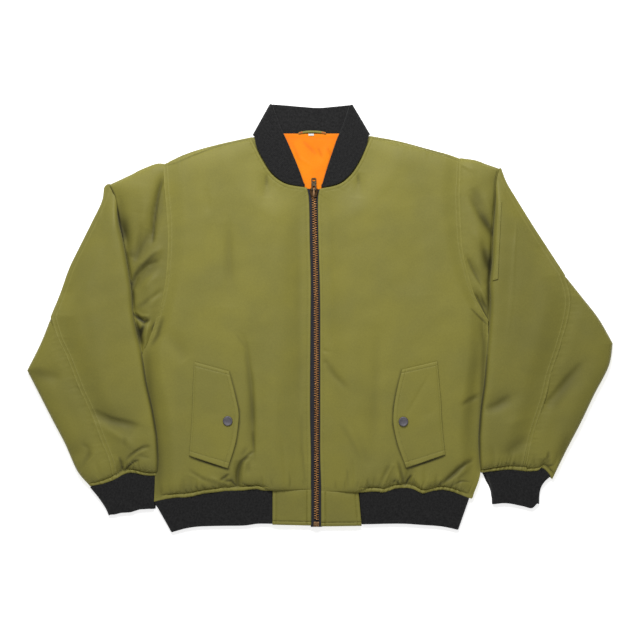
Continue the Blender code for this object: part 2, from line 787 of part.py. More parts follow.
fronts = {}
for side in ("right", "left"):
    # A front: armhole and side on its outer line, neckline and zip on its inner line.
    fronts[side] = pad(
        f"front_{side}",
        shell,
        panel_of(
            ARMHOLE[side] + SIDE[side],
            NECKLINE[side] + ZIP_EDGE[side],
            [5.0] * 7 + [4.0] * 8,
            [4.5] * 15,
            BODY_FULL,
        ),
        FRONT_BASE,
        FRONT_FOLDS[side],
        columns=(9, (3, 8, 16, 28)),
        rolls=(34, 42, 36, 34),
        ends=(0.32, 0.34),
        margins=(4, 6, 2, 5),
        lines=(SHOULDER[side], HEM_SEAM[side]),
        outer_corners=(HEAD_ROWS[side] - 1,),
        inner_corners=(5,),
    )

    # The sleeve's head, from the armhole to where the sleeve folds over it.
    rows = HEAD_ROWS[side]
    head_inner = (ARMHOLE[side] + SIDE[side])[:rows]
    pad(
        f"sleeve_{side}_head",
        shell,
        panel_of(FOLD_LINE[side][:rows], head_inner, 4.0, 5.0, CAP_FULL),
        FRONT_BASE,
        HEAD_FOLDS[side],
        columns=(3, (3, 9, 18)),
        rolls=(24, 26, 26, 34),
        ends=(0.4, 0.45),
        margins=(0, 3, 2, 0),
        lines=(HEAD_LINE[side], None),
        insets=(FOLD_INSET, SEAM_INSET),
        end_gaps=(0, 0.8),
    )

    # The sleeve's underside, from the back of the armhole to the outer edge.
    under_line = [(x, y + 1.5) for x, y in HEAD_LINE[side]]
    under_inner = ARMHOLE[side] + FOLD_LINE[side][8:]
    flat_pad(
        f"sleeve_{side}_back",
        shell,
        panel_of(SLEEVE_OUTER[side], under_inner, 0, 0, 0),
        0,
        LAYER,
        BACK_EDGE,
        7,
        columns=(6, (3, 7.5)),
        lines=(under_line, CUFF_BACK[side]),
        insets=(0, FOLD_INSET),
        outer_corners=(8,),
        inner_corners=(7,),
    )

    # The sleeve's upper side, which rolls over at the fold and ends at the elbow seam.
    start = ELBOW_ROW[side]
    sleeve_outer = SLEEVE_OUTER[side][: start + 1] + ELBOW_SEAM[side][1:]
    count = len(sleeve_outer)
    pad(
        f"sleeve_{side}_front",
        shell,
        panel_of(
            sleeve_outer,
            FOLD_LINE[side],
            [3.0] * start + [4.5] * (count - start),
            [8.5] * 9 + [7.0] * (count - 9),
            [10.0, 14.0] + [SLEEVE_FULL] * (count - 4) + [15.5, 13.0],
        ),
        FRONT_BASE,
        SLEEVE_FOLDS[side],
        columns=(4, (3, 8, 16, 28)),
        rolls=(46, 18, 20, 32),
        ends=(0.45, 0.32),
        margins=(3, 0, 0, 3),
        lines=(None, CUFF_SEAM[side]),
        insets=(SEAM_INSET, FOLD_INSET),
        outer_corners=(start,),
    )

    # The elbow piece, outside the double-stitched seam. It starts in a narrow tip.
    outer_line, seam_line = SLEEVE_OUTER[side][start:], ELBOW_SEAM[side]
    pad(
        f"sleeve_{side}_elbow",
        shell,
        panel_of(
            [tuple(spline(outer_line, ELBOW_TIP)), *outer_line[1:]],
            [tuple(spline(seam_line, ELBOW_TIP)), *seam_line[1:]],
            3.0,
            4.5,
            [4.5, 8.5, ELBOW_FULL, ELBOW_FULL] + [ELBOW_FULL] * (len(outer_line) - 4),
        ),
        FRONT_BASE,
        ELBOW_FOLDS[side],
        columns=(3, (3, 9, 18)),
        rolls=(30, 26, 10, 30),
        ends=(0.8, 0.32),
        margins=(0, 3, 0, 3),
        lines=(None, ELBOW_END[side]),
        insets=(0, SEAM_INSET),
        outer_corners=(8 - start,),
    )

    # The olive block at the end of the hem band, and the pocket flap with its snap.
    far_top, near_top, far_low, near_low = BLOCK_CORNERS[side]
    pad(
        f"hem_block_{side}",
        shell,
        panel_of([far_top, far_low], [near_top, near_low], 4, 4, BLOCK_THICK),
        BLOCK_FLOOR,
        columns=(3, (2, 6, 12)),
        rolls=(16, 16, 14, 14),
        ends=(0.7, 0.6),
        insets=(0, 0),
    )
    top_of_front = surface_of(fronts[side])
    flap = pad(
        f"pocket_flap_{side}",
        shell,
        panel_of(
            [r[:2] for r in FLAP_ROWS[side]],
            [r[2:] for r in FLAP_ROWS[side]],
            1.5,
            FLAP_THICK,
            FLAP_THICK + 0.6,
        ),
        lambda x, y, under=top_of_front: under(x, y) + FLAP_LIFT,
        columns=(5, (2, 6)),
        rolls=(8, 5, 5, 5),
        ends=(0.8, 0.9),
        insets=(0, 0),
    )
    snap_x, snap_y = SNAP_PLACE[side]
    top_of_flap = surface_of(flap)
    steps = (-SNAP_RADIUS, 0, SNAP_RADIUS)
    under_cap = [top_of_flap(snap_x + a, snap_y + b) for a in steps for b in steps]
    snap = turned(SNAP_PROFILE, (snap_x, snap_y, max(under_cap) + SEAM_GAP), 24)
    add_object(f"snap_cap_{side}", snap, snap_metal)

# The edge of the arm pocket, which wraps the left sleeve's fold.
top_of_sleeve = surface_of(bpy.data.objects["sleeve_left_front"])
pad(
    "arm_pocket",
    shell,
    panel_of([r[:2] for r in ARM_POCKET_ROWS], [r[2:] for r in ARM_POCKET_ROWS], 1.2, 1.2, POCKET_THICK),
    lambda x, y: top_of_sleeve(x, y) + FLAP_LIFT,
    columns=(1, (1.5,)),
    rolls=(3, 3, 3, 3),
    ends=(0.9, 0.9),
    insets=(0, 0),
)

# The collar: one knit band from the right front's end, round the back of the neck, to the left.
neck_middle = (-15, 270)
right_front = stretch(COLLAR_RIGHT, COLLAR_SEAM_HEIGHT, COLLAR_EDGE_HEIGHT)
left_front = stretch(COLLAR_LEFT, COLLAR_SEAM_HEIGHT, COLLAR_EDGE_HEIGHT)
back_knit = stretch(COLLAR_BACK, COLLAR_BACK_SEAM, COLLAR_BACK_EDGE)
collar_sections = [
    *right_front,
    *turn(right_front[-1], back_knit[0], neck_middle),
    *back_knit,
    *reversed(turn(left_front[-1], back_knit[-1], neck_middle)),
    *reversed(left_front),
]
band("collar", knit, collar_sections, COLLAR_WALL)


def height_on(lines):
    """A function that gives y at x on seam lines that lie end to end."""
    xs, ys = zip(*sorted(tuple(along(line, k / 100)) for line in lines for k in range(101)))
    return lambda x: float(np.interp(x, xs, ys))


def hem_rows(side, seam):
    """The hem band's stretch below a seam line, from the end block to the side fold."""
    seam_y = height_on([seam])
    free = HEM_FREE[side]
    near, far = HEM_SPAN[side]
    seam_xs = [near + (far - near) * k / (len(free) - 1) for k in range(len(free))]
    return [(x, seam_y(x) - HEM_GAP, *edge) for x, edge in zip(seam_xs, free)]


# The hem band: from the right end block round the back to the left one.
hem_middle = (0, -330)
hem_right = stretch(hem_rows("right", HEM_SEAM["right"]), KNIT_SEAM_HEIGHT, KNIT_EDGE_HEIGHT)
hem_left = stretch(hem_rows("left", HEM_SEAM["left"]), KNIT_SEAM_HEIGHT, KNIT_EDGE_HEIGHT)
low_right = stretch(hem_rows("right", HEM_BACK), KNIT_LOW, KNIT_LOW)[::-1]
low_left = stretch(hem_rows("left", HEM_BACK), KNIT_LOW, KNIT_LOW)
hem_sections = [
    *hem_right,
    *turn(hem_right[-1], low_right[0], hem_middle),
    *low_right,
    *low_left,
    *reversed(turn(hem_left[-1], low_left[-1], hem_middle)),
    *reversed(hem_left),
]
band("hem_band", knit, hem_sections, KNIT_WALL)


def cuff_rows(rows, lines):
    """A cuff's stretch below the lines that the sleeve's end follows."""
    seam_y = height_on(lines)
    return [(x, seam_y(x) - drop, free_x, free_y) for x, drop, free_x, free_y in rows]


for side, rows in (("right", CUFF_RIGHT), ("left", CUFF_LEFT)):
    over = cuff_rows(rows, [ELBOW_END[side], CUFF_SEAM[side]])
    under = cuff_rows(rows, [CUFF_BACK[side]])
    upper = stretch(over, KNIT_SEAM_HEIGHT, KNIT_EDGE_HEIGHT)
    lower = stretch(under, KNIT_LOW, KNIT_LOW)[::-1]
    middle_row = over[len(over) // 2]
    inside = (np.array(middle_row[:2]) + np.array(middle_row[2:])) / 2
    ring = [
        *upper,
        *turn(upper[-1], lower[0], inside),
        *lower,
        *reversed(turn(upper[0], lower[-1], inside)),
    ]
    band(f"cuff_{side}", knit, ring, KNIT_WALL, closed=True)

# The zip: two tapes, the closed chain, the slider with its arch, the pull and the bottom box.
zip_rows = [tuple(spline(ZIP_ROWS, k / 2)) for k in range(2 * len(ZIP_ROWS) - 1)]
sweep(
    "zip_tape_right",
    tape_cloth,
    [(y, outer, middle - SEAM_GAP / 2) for y, outer, middle, _ in zip_rows],
    FRONT_BASE,
    FRONT_BASE + TAPE_THICK,
)
sweep(
    "zip_tape_left",
    tape_cloth,
    [(y, middle + SEAM_GAP / 2, outer) for y, _, middle, outer in zip_rows],
    FRONT_BASE,
    FRONT_BASE + TAPE_THICK,
)
CHAIN_TOP_Y = 206
CHAIN_LOW_Y = -344.5
heights = [row[0] for row in reversed(zip_rows)]
centres = [row[2] for row in reversed(zip_rows)]
chain_rows = []
for k in range(23):
    y = CHAIN_TOP_Y + (CHAIN_LOW_Y - CHAIN_TOP_Y) * k / 22
    middle = float(np.interp(y, heights, centres))
    chain_rows.append((y, middle - CHAIN_WIDE / 2, middle + CHAIN_WIDE / 2))
sweep("zip_chain", brass, chain_rows, CHAIN_BASE, CHAIN_BASE + CHAIN_THICK * 0.75, CHAIN_THICK * 0.25)

BOX_HIGH = 4.0
BOX_HALF = 4.8
BOX_SPAN = (-353, -345)
box_x = float(np.interp(BOX_SPAN[0], heights, centres))
box_outline = oblong(box_x - BOX_HALF, box_x + BOX_HALF, *BOX_SPAN)
add_object("zip_box", block(box_outline, CHAIN_BASE, CHAIN_BASE + BOX_HIGH, 0.6), brass)

SLIDER_X = -10.5
SLIDER_THICK = 3.8
SLIDER_TOP = CHAIN_BASE + SLIDER_THICK
SLIDER_HALF = [(222.2, 4.0), (220.6, 6.6), (214.5, 6.9), (210.5, 5.5), (206.8, 5.1)]
slider_outline = [(SLIDER_X - half, y) for y, half in SLIDER_HALF]
slider_outline += [(SLIDER_X + half, y) for y, half in reversed(SLIDER_HALF)]
slider = add_object("zip_slider", block(slider_outline, CHAIN_BASE, SLIDER_TOP, 0.7), brass)

ARCH_WIDE = 2.4
ARCH_WALL = 1.5
ARCH_SPAN = (208.6, 221.3)
ARCH_HIGH = 5.1
arch_outline = [
    (ARCH_SPAN[0], -0.8),
    (ARCH_SPAN[0], ARCH_HIGH - 1.2),
    (ARCH_SPAN[0] + 1.6, ARCH_HIGH),
    (ARCH_SPAN[1] - 1.2, ARCH_HIGH),
    (ARCH_SPAN[1], ARCH_HIGH - 1.2),
    (ARCH_SPAN[1], -0.8),
    (ARCH_SPAN[1] - ARCH_WALL, -0.8),
    (ARCH_SPAN[1] - ARCH_WALL, ARCH_HIGH - ARCH_WALL),
    (ARCH_SPAN[0] + ARCH_WALL, ARCH_HIGH - ARCH_WALL),
    (ARCH_SPAN[0] + ARCH_WALL, -0.8),
]
arch_shape = bmesh.new()
arch_face = arch_shape.faces.new(
    [arch_shape.verts.new((SLIDER_X - ARCH_WIDE / 2, y, SLIDER_TOP + z)) for y, z in arch_outline]
)
arch_side = bmesh.ops.extrude_face_region(arch_shape, geom=[arch_face])["geom"]
bmesh.ops.translate(
    arch_shape,
    vec=(ARCH_WIDE, 0, 0),
    verts=[item for item in arch_side if isinstance(item, bmesh.types.BMVert)],
)
arch = add_object("slider_arch", arch_shape, brass, smooth=False)
combine(slider, arch, "UNION")

# The pull hangs from the arch's collar end and lies down on the lining. It turns about its bar.
PULL_LONG = 21.4
PULL_WIDE = 8.4
PULL_THICK = 1.6
PULL_BAR = 0.8
PULL_WINDOW = (4.2, 7.0)
PULL_SLOT = (5.0, 15.6, 19.4)
PULL_DOWN = 15
PULL_PLACE = (SLIDER_X, ARCH_SPAN[1] - ARCH_WALL - 1.4, SLIDER_TOP + 2.1)
half = PULL_WIDE / 2
pull_outline = [
    (-half, -PULL_BAR),
    (half, -PULL_BAR),
    (half, PULL_LONG - 1.6),
    (half - 1.6, PULL_LONG),
    (1.6 - half, PULL_LONG),
    (-half, PULL_LONG - 1.6),
]
pull = add_object("zip_pull", block(pull_outline, -PULL_THICK / 2, PULL_THICK / 2, 0.3), brass)
pull.location = [v * MM for v in PULL_PLACE]
pull.rotation_euler = (-math.radians(PULL_DOWN), 0, 0)


def pull_cutter(name, wide, low, high):
    """Cuts an opening through the pull, between two distances from its bar."""
    cutter_shape = block(oblong(-wide / 2, wide / 2, low, high), -2 * PULL_THICK, 2 * PULL_THICK)
    cutter = add_object(name, cutter_shape, brass, smooth=False)
    cutter.location = pull.location
    cutter.rotation_euler = pull.rotation_euler
    combine(pull, cutter, "DIFFERENCE")


pull_cutter("pull_window", PULL_WINDOW[0], PULL_BAR, PULL_WINDOW[1])
pull_cutter("pull_slot", PULL_SLOT[0], PULL_SLOT[1], PULL_SLOT[2])

# The hanger loop arches from the lining over the back knit, and the tag is sewn in under it.
LOOP_WIDE = 4.5
LOOP_THICK = 1.3
LOOP_FOOT_Y = 310.5
LOOP_BOW = 6.0
LOOP_LIFT = 0.9
loop_tops, loop_bottoms = [], []
for k in range(13):
    share = k / 12
    x = LOOP_ENDS[0] + (LOOP_ENDS[1] - LOOP_ENDS[0]) * share
    bow = math.sin(math.pi * share) ** 0.6
    near, far = (LOOP_FOOT_Y + LOOP_BOW * bow + reach for reach in (-LOOP_WIDE / 2, LOOP_WIDE / 2))
    z = LINING_TOP + SEAM_GAP + LOOP_LIFT * bow
    loop_tops.append([(x, near, z + LOOP_THICK), (x, far, z + LOOP_THICK)])
    loop_bottoms.append([(x, near, z), (x, far, z)])
add_object("hanger_loop", wall(loop_tops, loop_bottoms), shell)
TAG_HALF = (4.6, 1.8)
TAG_THICK = 0.5
tag_x, tag_y = NECK_TAG_AT
tag_outline = oblong(tag_x - TAG_HALF[0], tag_x + TAG_HALF[0], tag_y - TAG_HALF[1], tag_y + TAG_HALF[1])
tag_floor = LINING_TOP + SEAM_GAP
add_object("neck_tag", block(tag_outline, tag_floor, tag_floor + TAG_THICK), white, smooth=False)
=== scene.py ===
# %% [markdown]
# # A padded bomber jacket, laid flat and dressed
#
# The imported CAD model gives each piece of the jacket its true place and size, as plain solids.
# This lesson dresses it: every soft solid is replaced by a finer piece of the same form, with its
# seams, stitches, creases and ribs, and every piece gets a material that is worked out from what
# the real one is made of.

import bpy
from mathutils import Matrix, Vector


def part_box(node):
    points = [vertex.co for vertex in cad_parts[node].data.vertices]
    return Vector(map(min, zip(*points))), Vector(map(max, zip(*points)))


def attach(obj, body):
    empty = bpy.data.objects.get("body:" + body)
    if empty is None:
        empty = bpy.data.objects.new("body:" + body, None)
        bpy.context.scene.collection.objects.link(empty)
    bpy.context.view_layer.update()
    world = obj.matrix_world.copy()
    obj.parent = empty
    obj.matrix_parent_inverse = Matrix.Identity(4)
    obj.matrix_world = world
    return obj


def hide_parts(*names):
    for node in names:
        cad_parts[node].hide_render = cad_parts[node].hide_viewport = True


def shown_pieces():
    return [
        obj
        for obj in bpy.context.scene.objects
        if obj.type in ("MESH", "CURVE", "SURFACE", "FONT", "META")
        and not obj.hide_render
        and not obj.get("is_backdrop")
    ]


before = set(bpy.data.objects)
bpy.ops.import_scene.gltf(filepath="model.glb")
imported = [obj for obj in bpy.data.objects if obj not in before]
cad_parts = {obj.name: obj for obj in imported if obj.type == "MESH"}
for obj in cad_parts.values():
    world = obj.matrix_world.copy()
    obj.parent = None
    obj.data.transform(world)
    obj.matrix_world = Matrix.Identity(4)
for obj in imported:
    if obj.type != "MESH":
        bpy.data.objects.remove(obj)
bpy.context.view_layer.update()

# %% [markdown]
# Blender works in metres. A jacket is measured in millimetres, so the tables are in millimetres,
# and the folds are listed by their places in the 640-pixel photograph, at 1.7 mm for each pixel.
# Left and right are the wearer's: the jacket's right side is at -X.

# %% Tools and units
import math
import random
from collections import namedtuple

import bmesh
import bpy
import numpy as np
from mathutils import Vector
from mathutils.bvhtree import BVHTree

MM = 0.001
FULL_TURN = 2 * math.pi
PIXEL = 1.7
PHOTO_SIDE = 640
PHOTO_MIDDLE = (320, 318.7)
scene = bpy.context.scene


def spots(*places):
    """Places in the photograph, as x and y on the jacket."""
    middle_x, middle_y = PHOTO_MIDDLE
    return [((px - middle_x) * PIXEL, (middle_y - py) * PIXEL) for px, py in places]


# %% [markdown]
# The photograph was taken from straight above. A camera three metres up, with a long lens, sees
# the jacket as it shows there, with hardly any perspective.

# %% Camera
CAMERA_HIGH = 3.0
MEAN_HEIGHT = 0.009
SENSOR_WIDE = 36
camera_data = bpy.data.cameras.new("camera")
camera_data.sensor_width = SENSOR_WIDE
camera_data.lens = SENSOR_WIDE * CAMERA_HIGH / (PHOTO_SIDE * PIXEL * MM)
camera = bpy.data.objects.new("camera", camera_data)
camera.location = (0, (PHOTO_MIDDLE[1] - PHOTO_SIDE / 2) * PIXEL * MM, CAMERA_HIGH + MEAN_HEIGHT)
scene.collection.objects.link(camera)
scene.camera = camera
print("Lens, mm:", round(camera_data.lens, 1))

# %% [markdown]
# ## Materials
#
# One function turns the hex colours that a screen shows into the linear ones that light is
# worked out with, and one adds a node with its links, values and settings. Every pattern's scale
# comes from a real size: a Noise texture of scale s has features about 1/s across, and a Wave
# texture of scale s has a band every 2*pi/(20*s). The patterns lie on Object coordinates, apart
# from the knit's stitches, which follow their band. A Mix node of colours has its factor in 0 and
# its colours in 6 and 7, and gives its colour as 2.


# %% Material helpers
def linear(hex_colour):
    """The linear colour of an sRGB hex value."""
    values = [int(hex_colour[k : k + 2], 16) / 255 for k in (1, 3, 5)]
    return (*(v / 12.92 if v <= 0.04045 else ((v + 0.055) / 1.055) ** 2.4 for v in values), 1)


def add_node(tree, kind, links=None, values=None, stops=(), **settings):
    """A node with links from (node, output) pairs, its sockets' values, stops and settings."""
    made = tree.nodes.new("ShaderNode" + kind)
    for name, value in settings.items():
        setattr(made, name, value)
    for k, (place, colour) in enumerate(stops):
        made.color_ramp.elements[k].position = place
        made.color_ramp.elements[k].color = colour
    for socket, value in (values or {}).items():
        made.inputs[socket].default_value = value
    for socket, (source, output) in (links or {}).items():
        tree.links.new(source.outputs[output], made.inputs[socket])
    return made


def noise_scale(feature_mm):
    return 1 / (feature_mm * MM)


def wave_scale(pitch_mm):
    return FULL_TURN / (20 * pitch_mm * MM)


def new_material(name, **values):
    """A node material, its tree and its shader, with values set on the shader's own sockets."""
    made = bpy.data.materials.new(name)
    made.use_nodes = True
    shader = made.node_tree.nodes["Principled BSDF"]
    for socket, value in values.items():
        shader.inputs[socket.replace("_", " ")].default_value = value
    return made, made.node_tree, shader


# %% [markdown]
# The shell is nylon twill: fine smooth threads, woven on the diagonal, with a soft sheen. Dye and
# wear leave it slightly patchy between a yellower and a greener olive. The twill's lines are
# 0.5 mm apart on the real cloth and are drawn at 1.4 mm, so that they show. Turned edges are
# lighter, partly rubbed by wear and partly a painted highlight where their rims catch the light.
# Raised seam lines carry a painted highlight, and the creases carry a painted shade. The lighter
# edges and the shade are each painted by an attribute that each piece carries. The lining is a
# thinner, glossier nylon with a finer weave.


# %% Nylon cloth
def nylon_cloth(name, deep, light, rubbed, painted_crease_colour, weave_mm, **values):
    """Woven nylon, from its two dye shades, its lighter edges (wear and painted highlight) and the painted
    shade of its creases.
    """
    made, tree, shader = new_material(name, **values)
    place = add_node(tree, "TexCoord")
    here = {"Vector": (place, "Object")}
    broad = {"Scale": noise_scale(70), "Detail": 2.0, "Roughness": 0.5}
    patches = add_node(tree, "TexNoise", here, broad)
    dyes = [(0.36, linear(deep)), (0.66, linear(light))]
    dye = add_node(tree, "ValToRGB", {"Fac": (patches, "Fac")}, stops=dyes)
    threads = add_node(tree, "TexNoise", here, {"Scale": noise_scale(2.2), "Detail": 2.0})
    flecks = [(0.3, (0.95, 0.95, 0.95, 1)), (0.7, (1.05, 1.05, 1.05, 1))]
    fleck = add_node(tree, "ValToRGB", {"Fac": (threads, "Fac")}, stops=flecks)
    times = {"data_type": "RGBA", "blend_type": "MULTIPLY"}
    flecked = add_node(tree, "Mix", {6: (dye, "Color"), 7: (fleck, "Color")}, {0: 1.0}, **times)
    edge = add_node(tree, "Attribute", attribute_name="edge")
    crease = add_node(tree, "Attribute", attribute_name="crease")
    # The edge attribute lightens the colour: rubbed wear and a painted highlight on rims and raised seam
    # lines.
    onto_edges = {0: (edge, "Fac"), 6: (flecked, 2)}
    rubbed_and_lit = add_node(tree, "Mix", onto_edges, {7: linear(rubbed)}, data_type="RGBA")
    # The crease attribute darkens the colour towards the painted shade of the creases.
    into_creases = {0: (crease, "Fac"), 6: (rubbed_and_lit, 2)}
    crease_shaded = add_node(tree, "Mix", into_creases, {7: linear(painted_crease_colour)}, data_type="RGBA")
    lines = {"Scale": wave_scale(weave_mm), "Distortion": 1.5, "Detail": 1.0, "Detail Scale": 2.0}
    twill = add_node(tree, "TexWave", here, lines, wave_type="BANDS", bands_direction="DIAGONAL")
    wrinkles = {"Scale": noise_scale(17), "Detail": 2.5, "Roughness": 0.55, "Distortion": 0.6}
    crumple = add_node(tree, "TexNoise", here, wrinkles)
    shallow = {"Strength": 0.1, "Distance": 2.2 * MM}
    soft = add_node(tree, "Bump", {"Height": (crumple, "Fac")}, shallow)
    woven = {"Strength": 0.22, "Distance": 0.25 * MM}
    fine = add_node(tree, "Bump", {"Height": (twill, "Fac"), "Normal": (soft, "Normal")}, woven)
    tree.links.new(crease_shaded.outputs[2], shader.inputs["Base Color"])
    tree.links.new(fine.outputs["Normal"], shader.inputs["Normal"])
    return made


shell_look = {"Roughness": 0.6, "IOR": 1.4, "Sheen_Weight": 0.08, "Sheen_Roughness": 0.45}
# Each: the two dye shades, the lighter edge colour (wear and painted highlight) and the painted shade of
# the creases.
shell_shades = ("#85803A", "#8C8639", "#938D43", "#211F09")
shell_cloth = nylon_cloth("olive nylon twill", *shell_shades, 1.4, **shell_look)
lining_shades = ("#FF8600", "#FF9600", "#FFA32C", "#E04800")
lining_cloth = nylon_cloth("orange nylon lining", *lining_shades, 1.0, Roughness=0.55, IOR=1.3)
print("Cloth materials:", shell_cloth.name, "and", lining_cloth.name)

# %% [markdown]
# The collar, cuffs and hem are 1x1 rib knit in charcoal black wool and nylon: matt, a little
# fuzzy and lighter on single fibres. The ribs themselves are modelled. The material adds the
# stitches, 1.2 mm apart in the real knit and drawn at 1.8 mm along the band's own surface, which
# each band carries as an attribute, and the pale fibres that catch the light.


# %% Rib knit
def rib_knit(name, deep, light, **values):
    """Matt rib knit, from the shades of its fibres."""
    made, tree, shader = new_material(name, **values)
    place = add_node(tree, "TexCoord")
    surface = add_node(tree, "Attribute", attribute_name="lay")
    fuzzy = {"Scale": noise_scale(3.2), "Detail": 4.0, "Roughness": 0.8}
    fibres = add_node(tree, "TexNoise", {"Vector": (place, "Object")}, fuzzy)
    wools = [(0.34, linear(deep)), (0.72, linear(light))]
    heather = add_node(tree, "ValToRGB", {"Fac": (fibres, "Fac")}, stops=wools)
    rows = {"Scale": wave_scale(1.8), "Distortion": 1.2, "Detail": 1.0, "Detail Scale": 3.0}
    along = {"wave_type": "BANDS", "bands_direction": "Y", "wave_profile": "SIN"}
    courses = add_node(tree, "TexWave", {"Vector": (surface, "Vector")}, rows, **along)
    knitted = {"Strength": 0.5, "Distance": 0.35 * MM}
    loops = add_node(tree, "Bump", {"Height": (courses, "Fac")}, knitted)
    hairy = {"Strength": 0.4, "Distance": 0.4 * MM}
    fuzz = add_node(tree, "Bump", {"Height": (fibres, "Fac"), "Normal": (loops, "Normal")}, hairy)
    tree.links.new(heather.outputs["Color"], shader.inputs["Base Color"])
    tree.links.new(fuzz.outputs["Normal"], shader.inputs["Normal"])
    return made


knit_look = {"Roughness": 0.95, "IOR": 1.35, "Sheen_Weight": 0.1, "Sheen_Roughness": 0.6}
knit_cloth = rib_knit("charcoal rib knit", "#0B0B0C", "#2D2D2D", **knit_look)
print("Knit material:", knit_cloth.name)

# %% [markdown]
# The zip's tapes and the neck tag are narrow woven polyester, with a herringbone of fine ribs.
# The threads of the seams are spun polyester: matt, with a twist that is only a bump here.


# %% Woven tape and sewing thread
def woven_tape(name, deep, light, rib_mm, roughness):
    """Matt woven or twisted polyester, from its two shades and its ribs."""
    made, tree, shader = new_material(name, Roughness=roughness, IOR=1.5, Sheen_Weight=0.15)
    place = add_node(tree, "TexCoord")
    here = {"Vector": (place, "Object")}
    mottle = add_node(tree, "TexNoise", here, {"Scale": noise_scale(1.5), "Detail": 2.0})
    dyes = [(0.35, linear(deep)), (0.7, linear(light))]
    colour = add_node(tree, "ValToRGB", {"Fac": (mottle, "Fac")}, stops=dyes)
    lines = {"Scale": wave_scale(rib_mm), "Distortion": 0.6}
    ribs = add_node(tree, "TexWave", here, lines, wave_type="BANDS", bands_direction="DIAGONAL")
    woven = {"Strength": 0.5, "Distance": 0.25 * MM}
    relief = add_node(tree, "Bump", {"Height": (ribs, "Fac")}, woven)
    tree.links.new(colour.outputs["Color"], shader.inputs["Base Color"])
    tree.links.new(relief.outputs["Normal"], shader.inputs["Normal"])
    return made


zip_cloth = woven_tape("navy polyester zip tape", "#1A1B22", "#2B2C36", 1.2, 0.85)
tag_cloth = woven_tape("white woven tag", "#E6E6E2", "#F6F6F4", 0.9, 0.75)
olive_thread = woven_tape("olive polyester thread", "#847F3A", "#9E9950", 0.7, 0.7)
orange_thread = woven_tape("orange polyester thread", "#D9481A", "#F2652B", 0.7, 0.65)
print("Tapes and threads:", ", ".join(m.name for m in (zip_cloth, tag_cloth, olive_thread, orange_thread)))

# %% [markdown]
# The zip is brass that was darkened in a bath and then rubbed: brown in its hollows and golden
# where teeth and slider touch. Pointiness would find the worn edges, but it is lost on export, so
# a noise mixes the two, and the roughness goes with it. The snap caps are steel with a dark grey
# gunmetal plating, smooth and satin.


# %% Metals
def aged_metal(name, dark, worn, patch_mm, limits, rough, ridge=None):
    """Aged metal, from its two shades. ridge: the x of a bar where the metal keeps its colour, with it
    darker to either side.
    """
    made, tree, shader = new_material(name, Metallic=1.0)
    place = add_node(tree, "TexCoord")
    here = {"Vector": (place, "Object")}
    blotches = {"Scale": noise_scale(patch_mm), "Detail": 4.0, "Roughness": 0.6}
    patina = add_node(tree, "TexNoise", here, blotches)
    tones = [(limits[0], linear(dark)), (limits[1], linear(worn))]
    colour = add_node(tree, "ValToRGB", {"Fac": (patina, "Fac")}, stops=tones)
    reach = {"From Min": 0.3, "From Max": 0.7, "To Min": rough[0], "To Max": rough[1]}
    gloss = add_node(tree, "MapRange", {"Value": (patina, "Fac")}, reach)
    shallow = {"Strength": 0.15, "Distance": 0.1 * MM}
    scratches = add_node(tree, "Bump", {"Height": (patina, "Fac")}, shallow)
    finish = colour.outputs["Color"]
    if ridge is not None:
        # With a ridge, the colour is darker more than about 1.5 mm to either side of that bar.
        across = add_node(tree, "SeparateXYZ", here)
        middle = {1: ridge * MM}
        off = add_node(tree, "Math", {0: (across, "X")}, middle, operation="SUBTRACT")
        away = add_node(tree, "Math", {0: (off, "Value")}, operation="ABSOLUTE")
        share = add_node(tree, "MapRange", {"Value": (away, "Value")}, {"From Max": 5 * MM})
        bright_to_dark = [(0.26, (1, 1, 1, 1)), (0.36, (0.22, 0.2, 0.18, 1))]
        darker_beside_ridge = add_node(tree, "ValToRGB", {"Fac": (share, "Result")}, stops=bright_to_dark)
        layers = {6: (colour, "Color"), 7: (darker_beside_ridge, "Color")}
        times = {"data_type": "RGBA", "blend_type": "MULTIPLY"}
        ridge_toned = add_node(tree, "Mix", layers, {0: 1.0}, **times)
        finish = ridge_toned.outputs[2]
    tree.links.new(finish, shader.inputs["Base Color"])
    tree.links.new(gloss.outputs["Result"], shader.inputs["Roughness"])
    tree.links.new(scratches.outputs["Normal"], shader.inputs["Normal"])
    return made


dull = (1.8, (0.35, 0.65), (0.6, 0.5))
brass = aged_metal("aged brass", "#94622F", "#EDB57C", 1.8, (0.3, 0.7), (0.45, 0.34))
slider_brass = aged_metal("aged brass, rubbed dull", "#6E5238", "#C49C72", *dull, ridge=-10.5)
box_brass = aged_metal("aged brass, dull", "#5E452E", "#B8926A", *dull)
grey = (1.8, (0.35, 0.7), (0.75, 0.65))
pull_metal = aged_metal("aged brass, rubbed grey", "#3C342A", "#6E6250", *grey)
plated = (3.0, (0.3, 0.75), (0.6, 0.5))
snap_metal = aged_metal("gunmetal plated steel", "#716E75", "#88858C", *plated)
print("Metals:", ", ".join(m.name for m in (brass, slider_brass, box_brass, pull_metal, snap_metal)))

# %% [markdown]
# ## Seam lines
#
# A padded panel is cut between seams, so each panel here is ruled between two seam lines, as x
# and y in millimetres, from the collar end to the hem or cuff end. They are the solids' lines,
# with a few points moved by some millimetres, where the cloth shows finer turns.

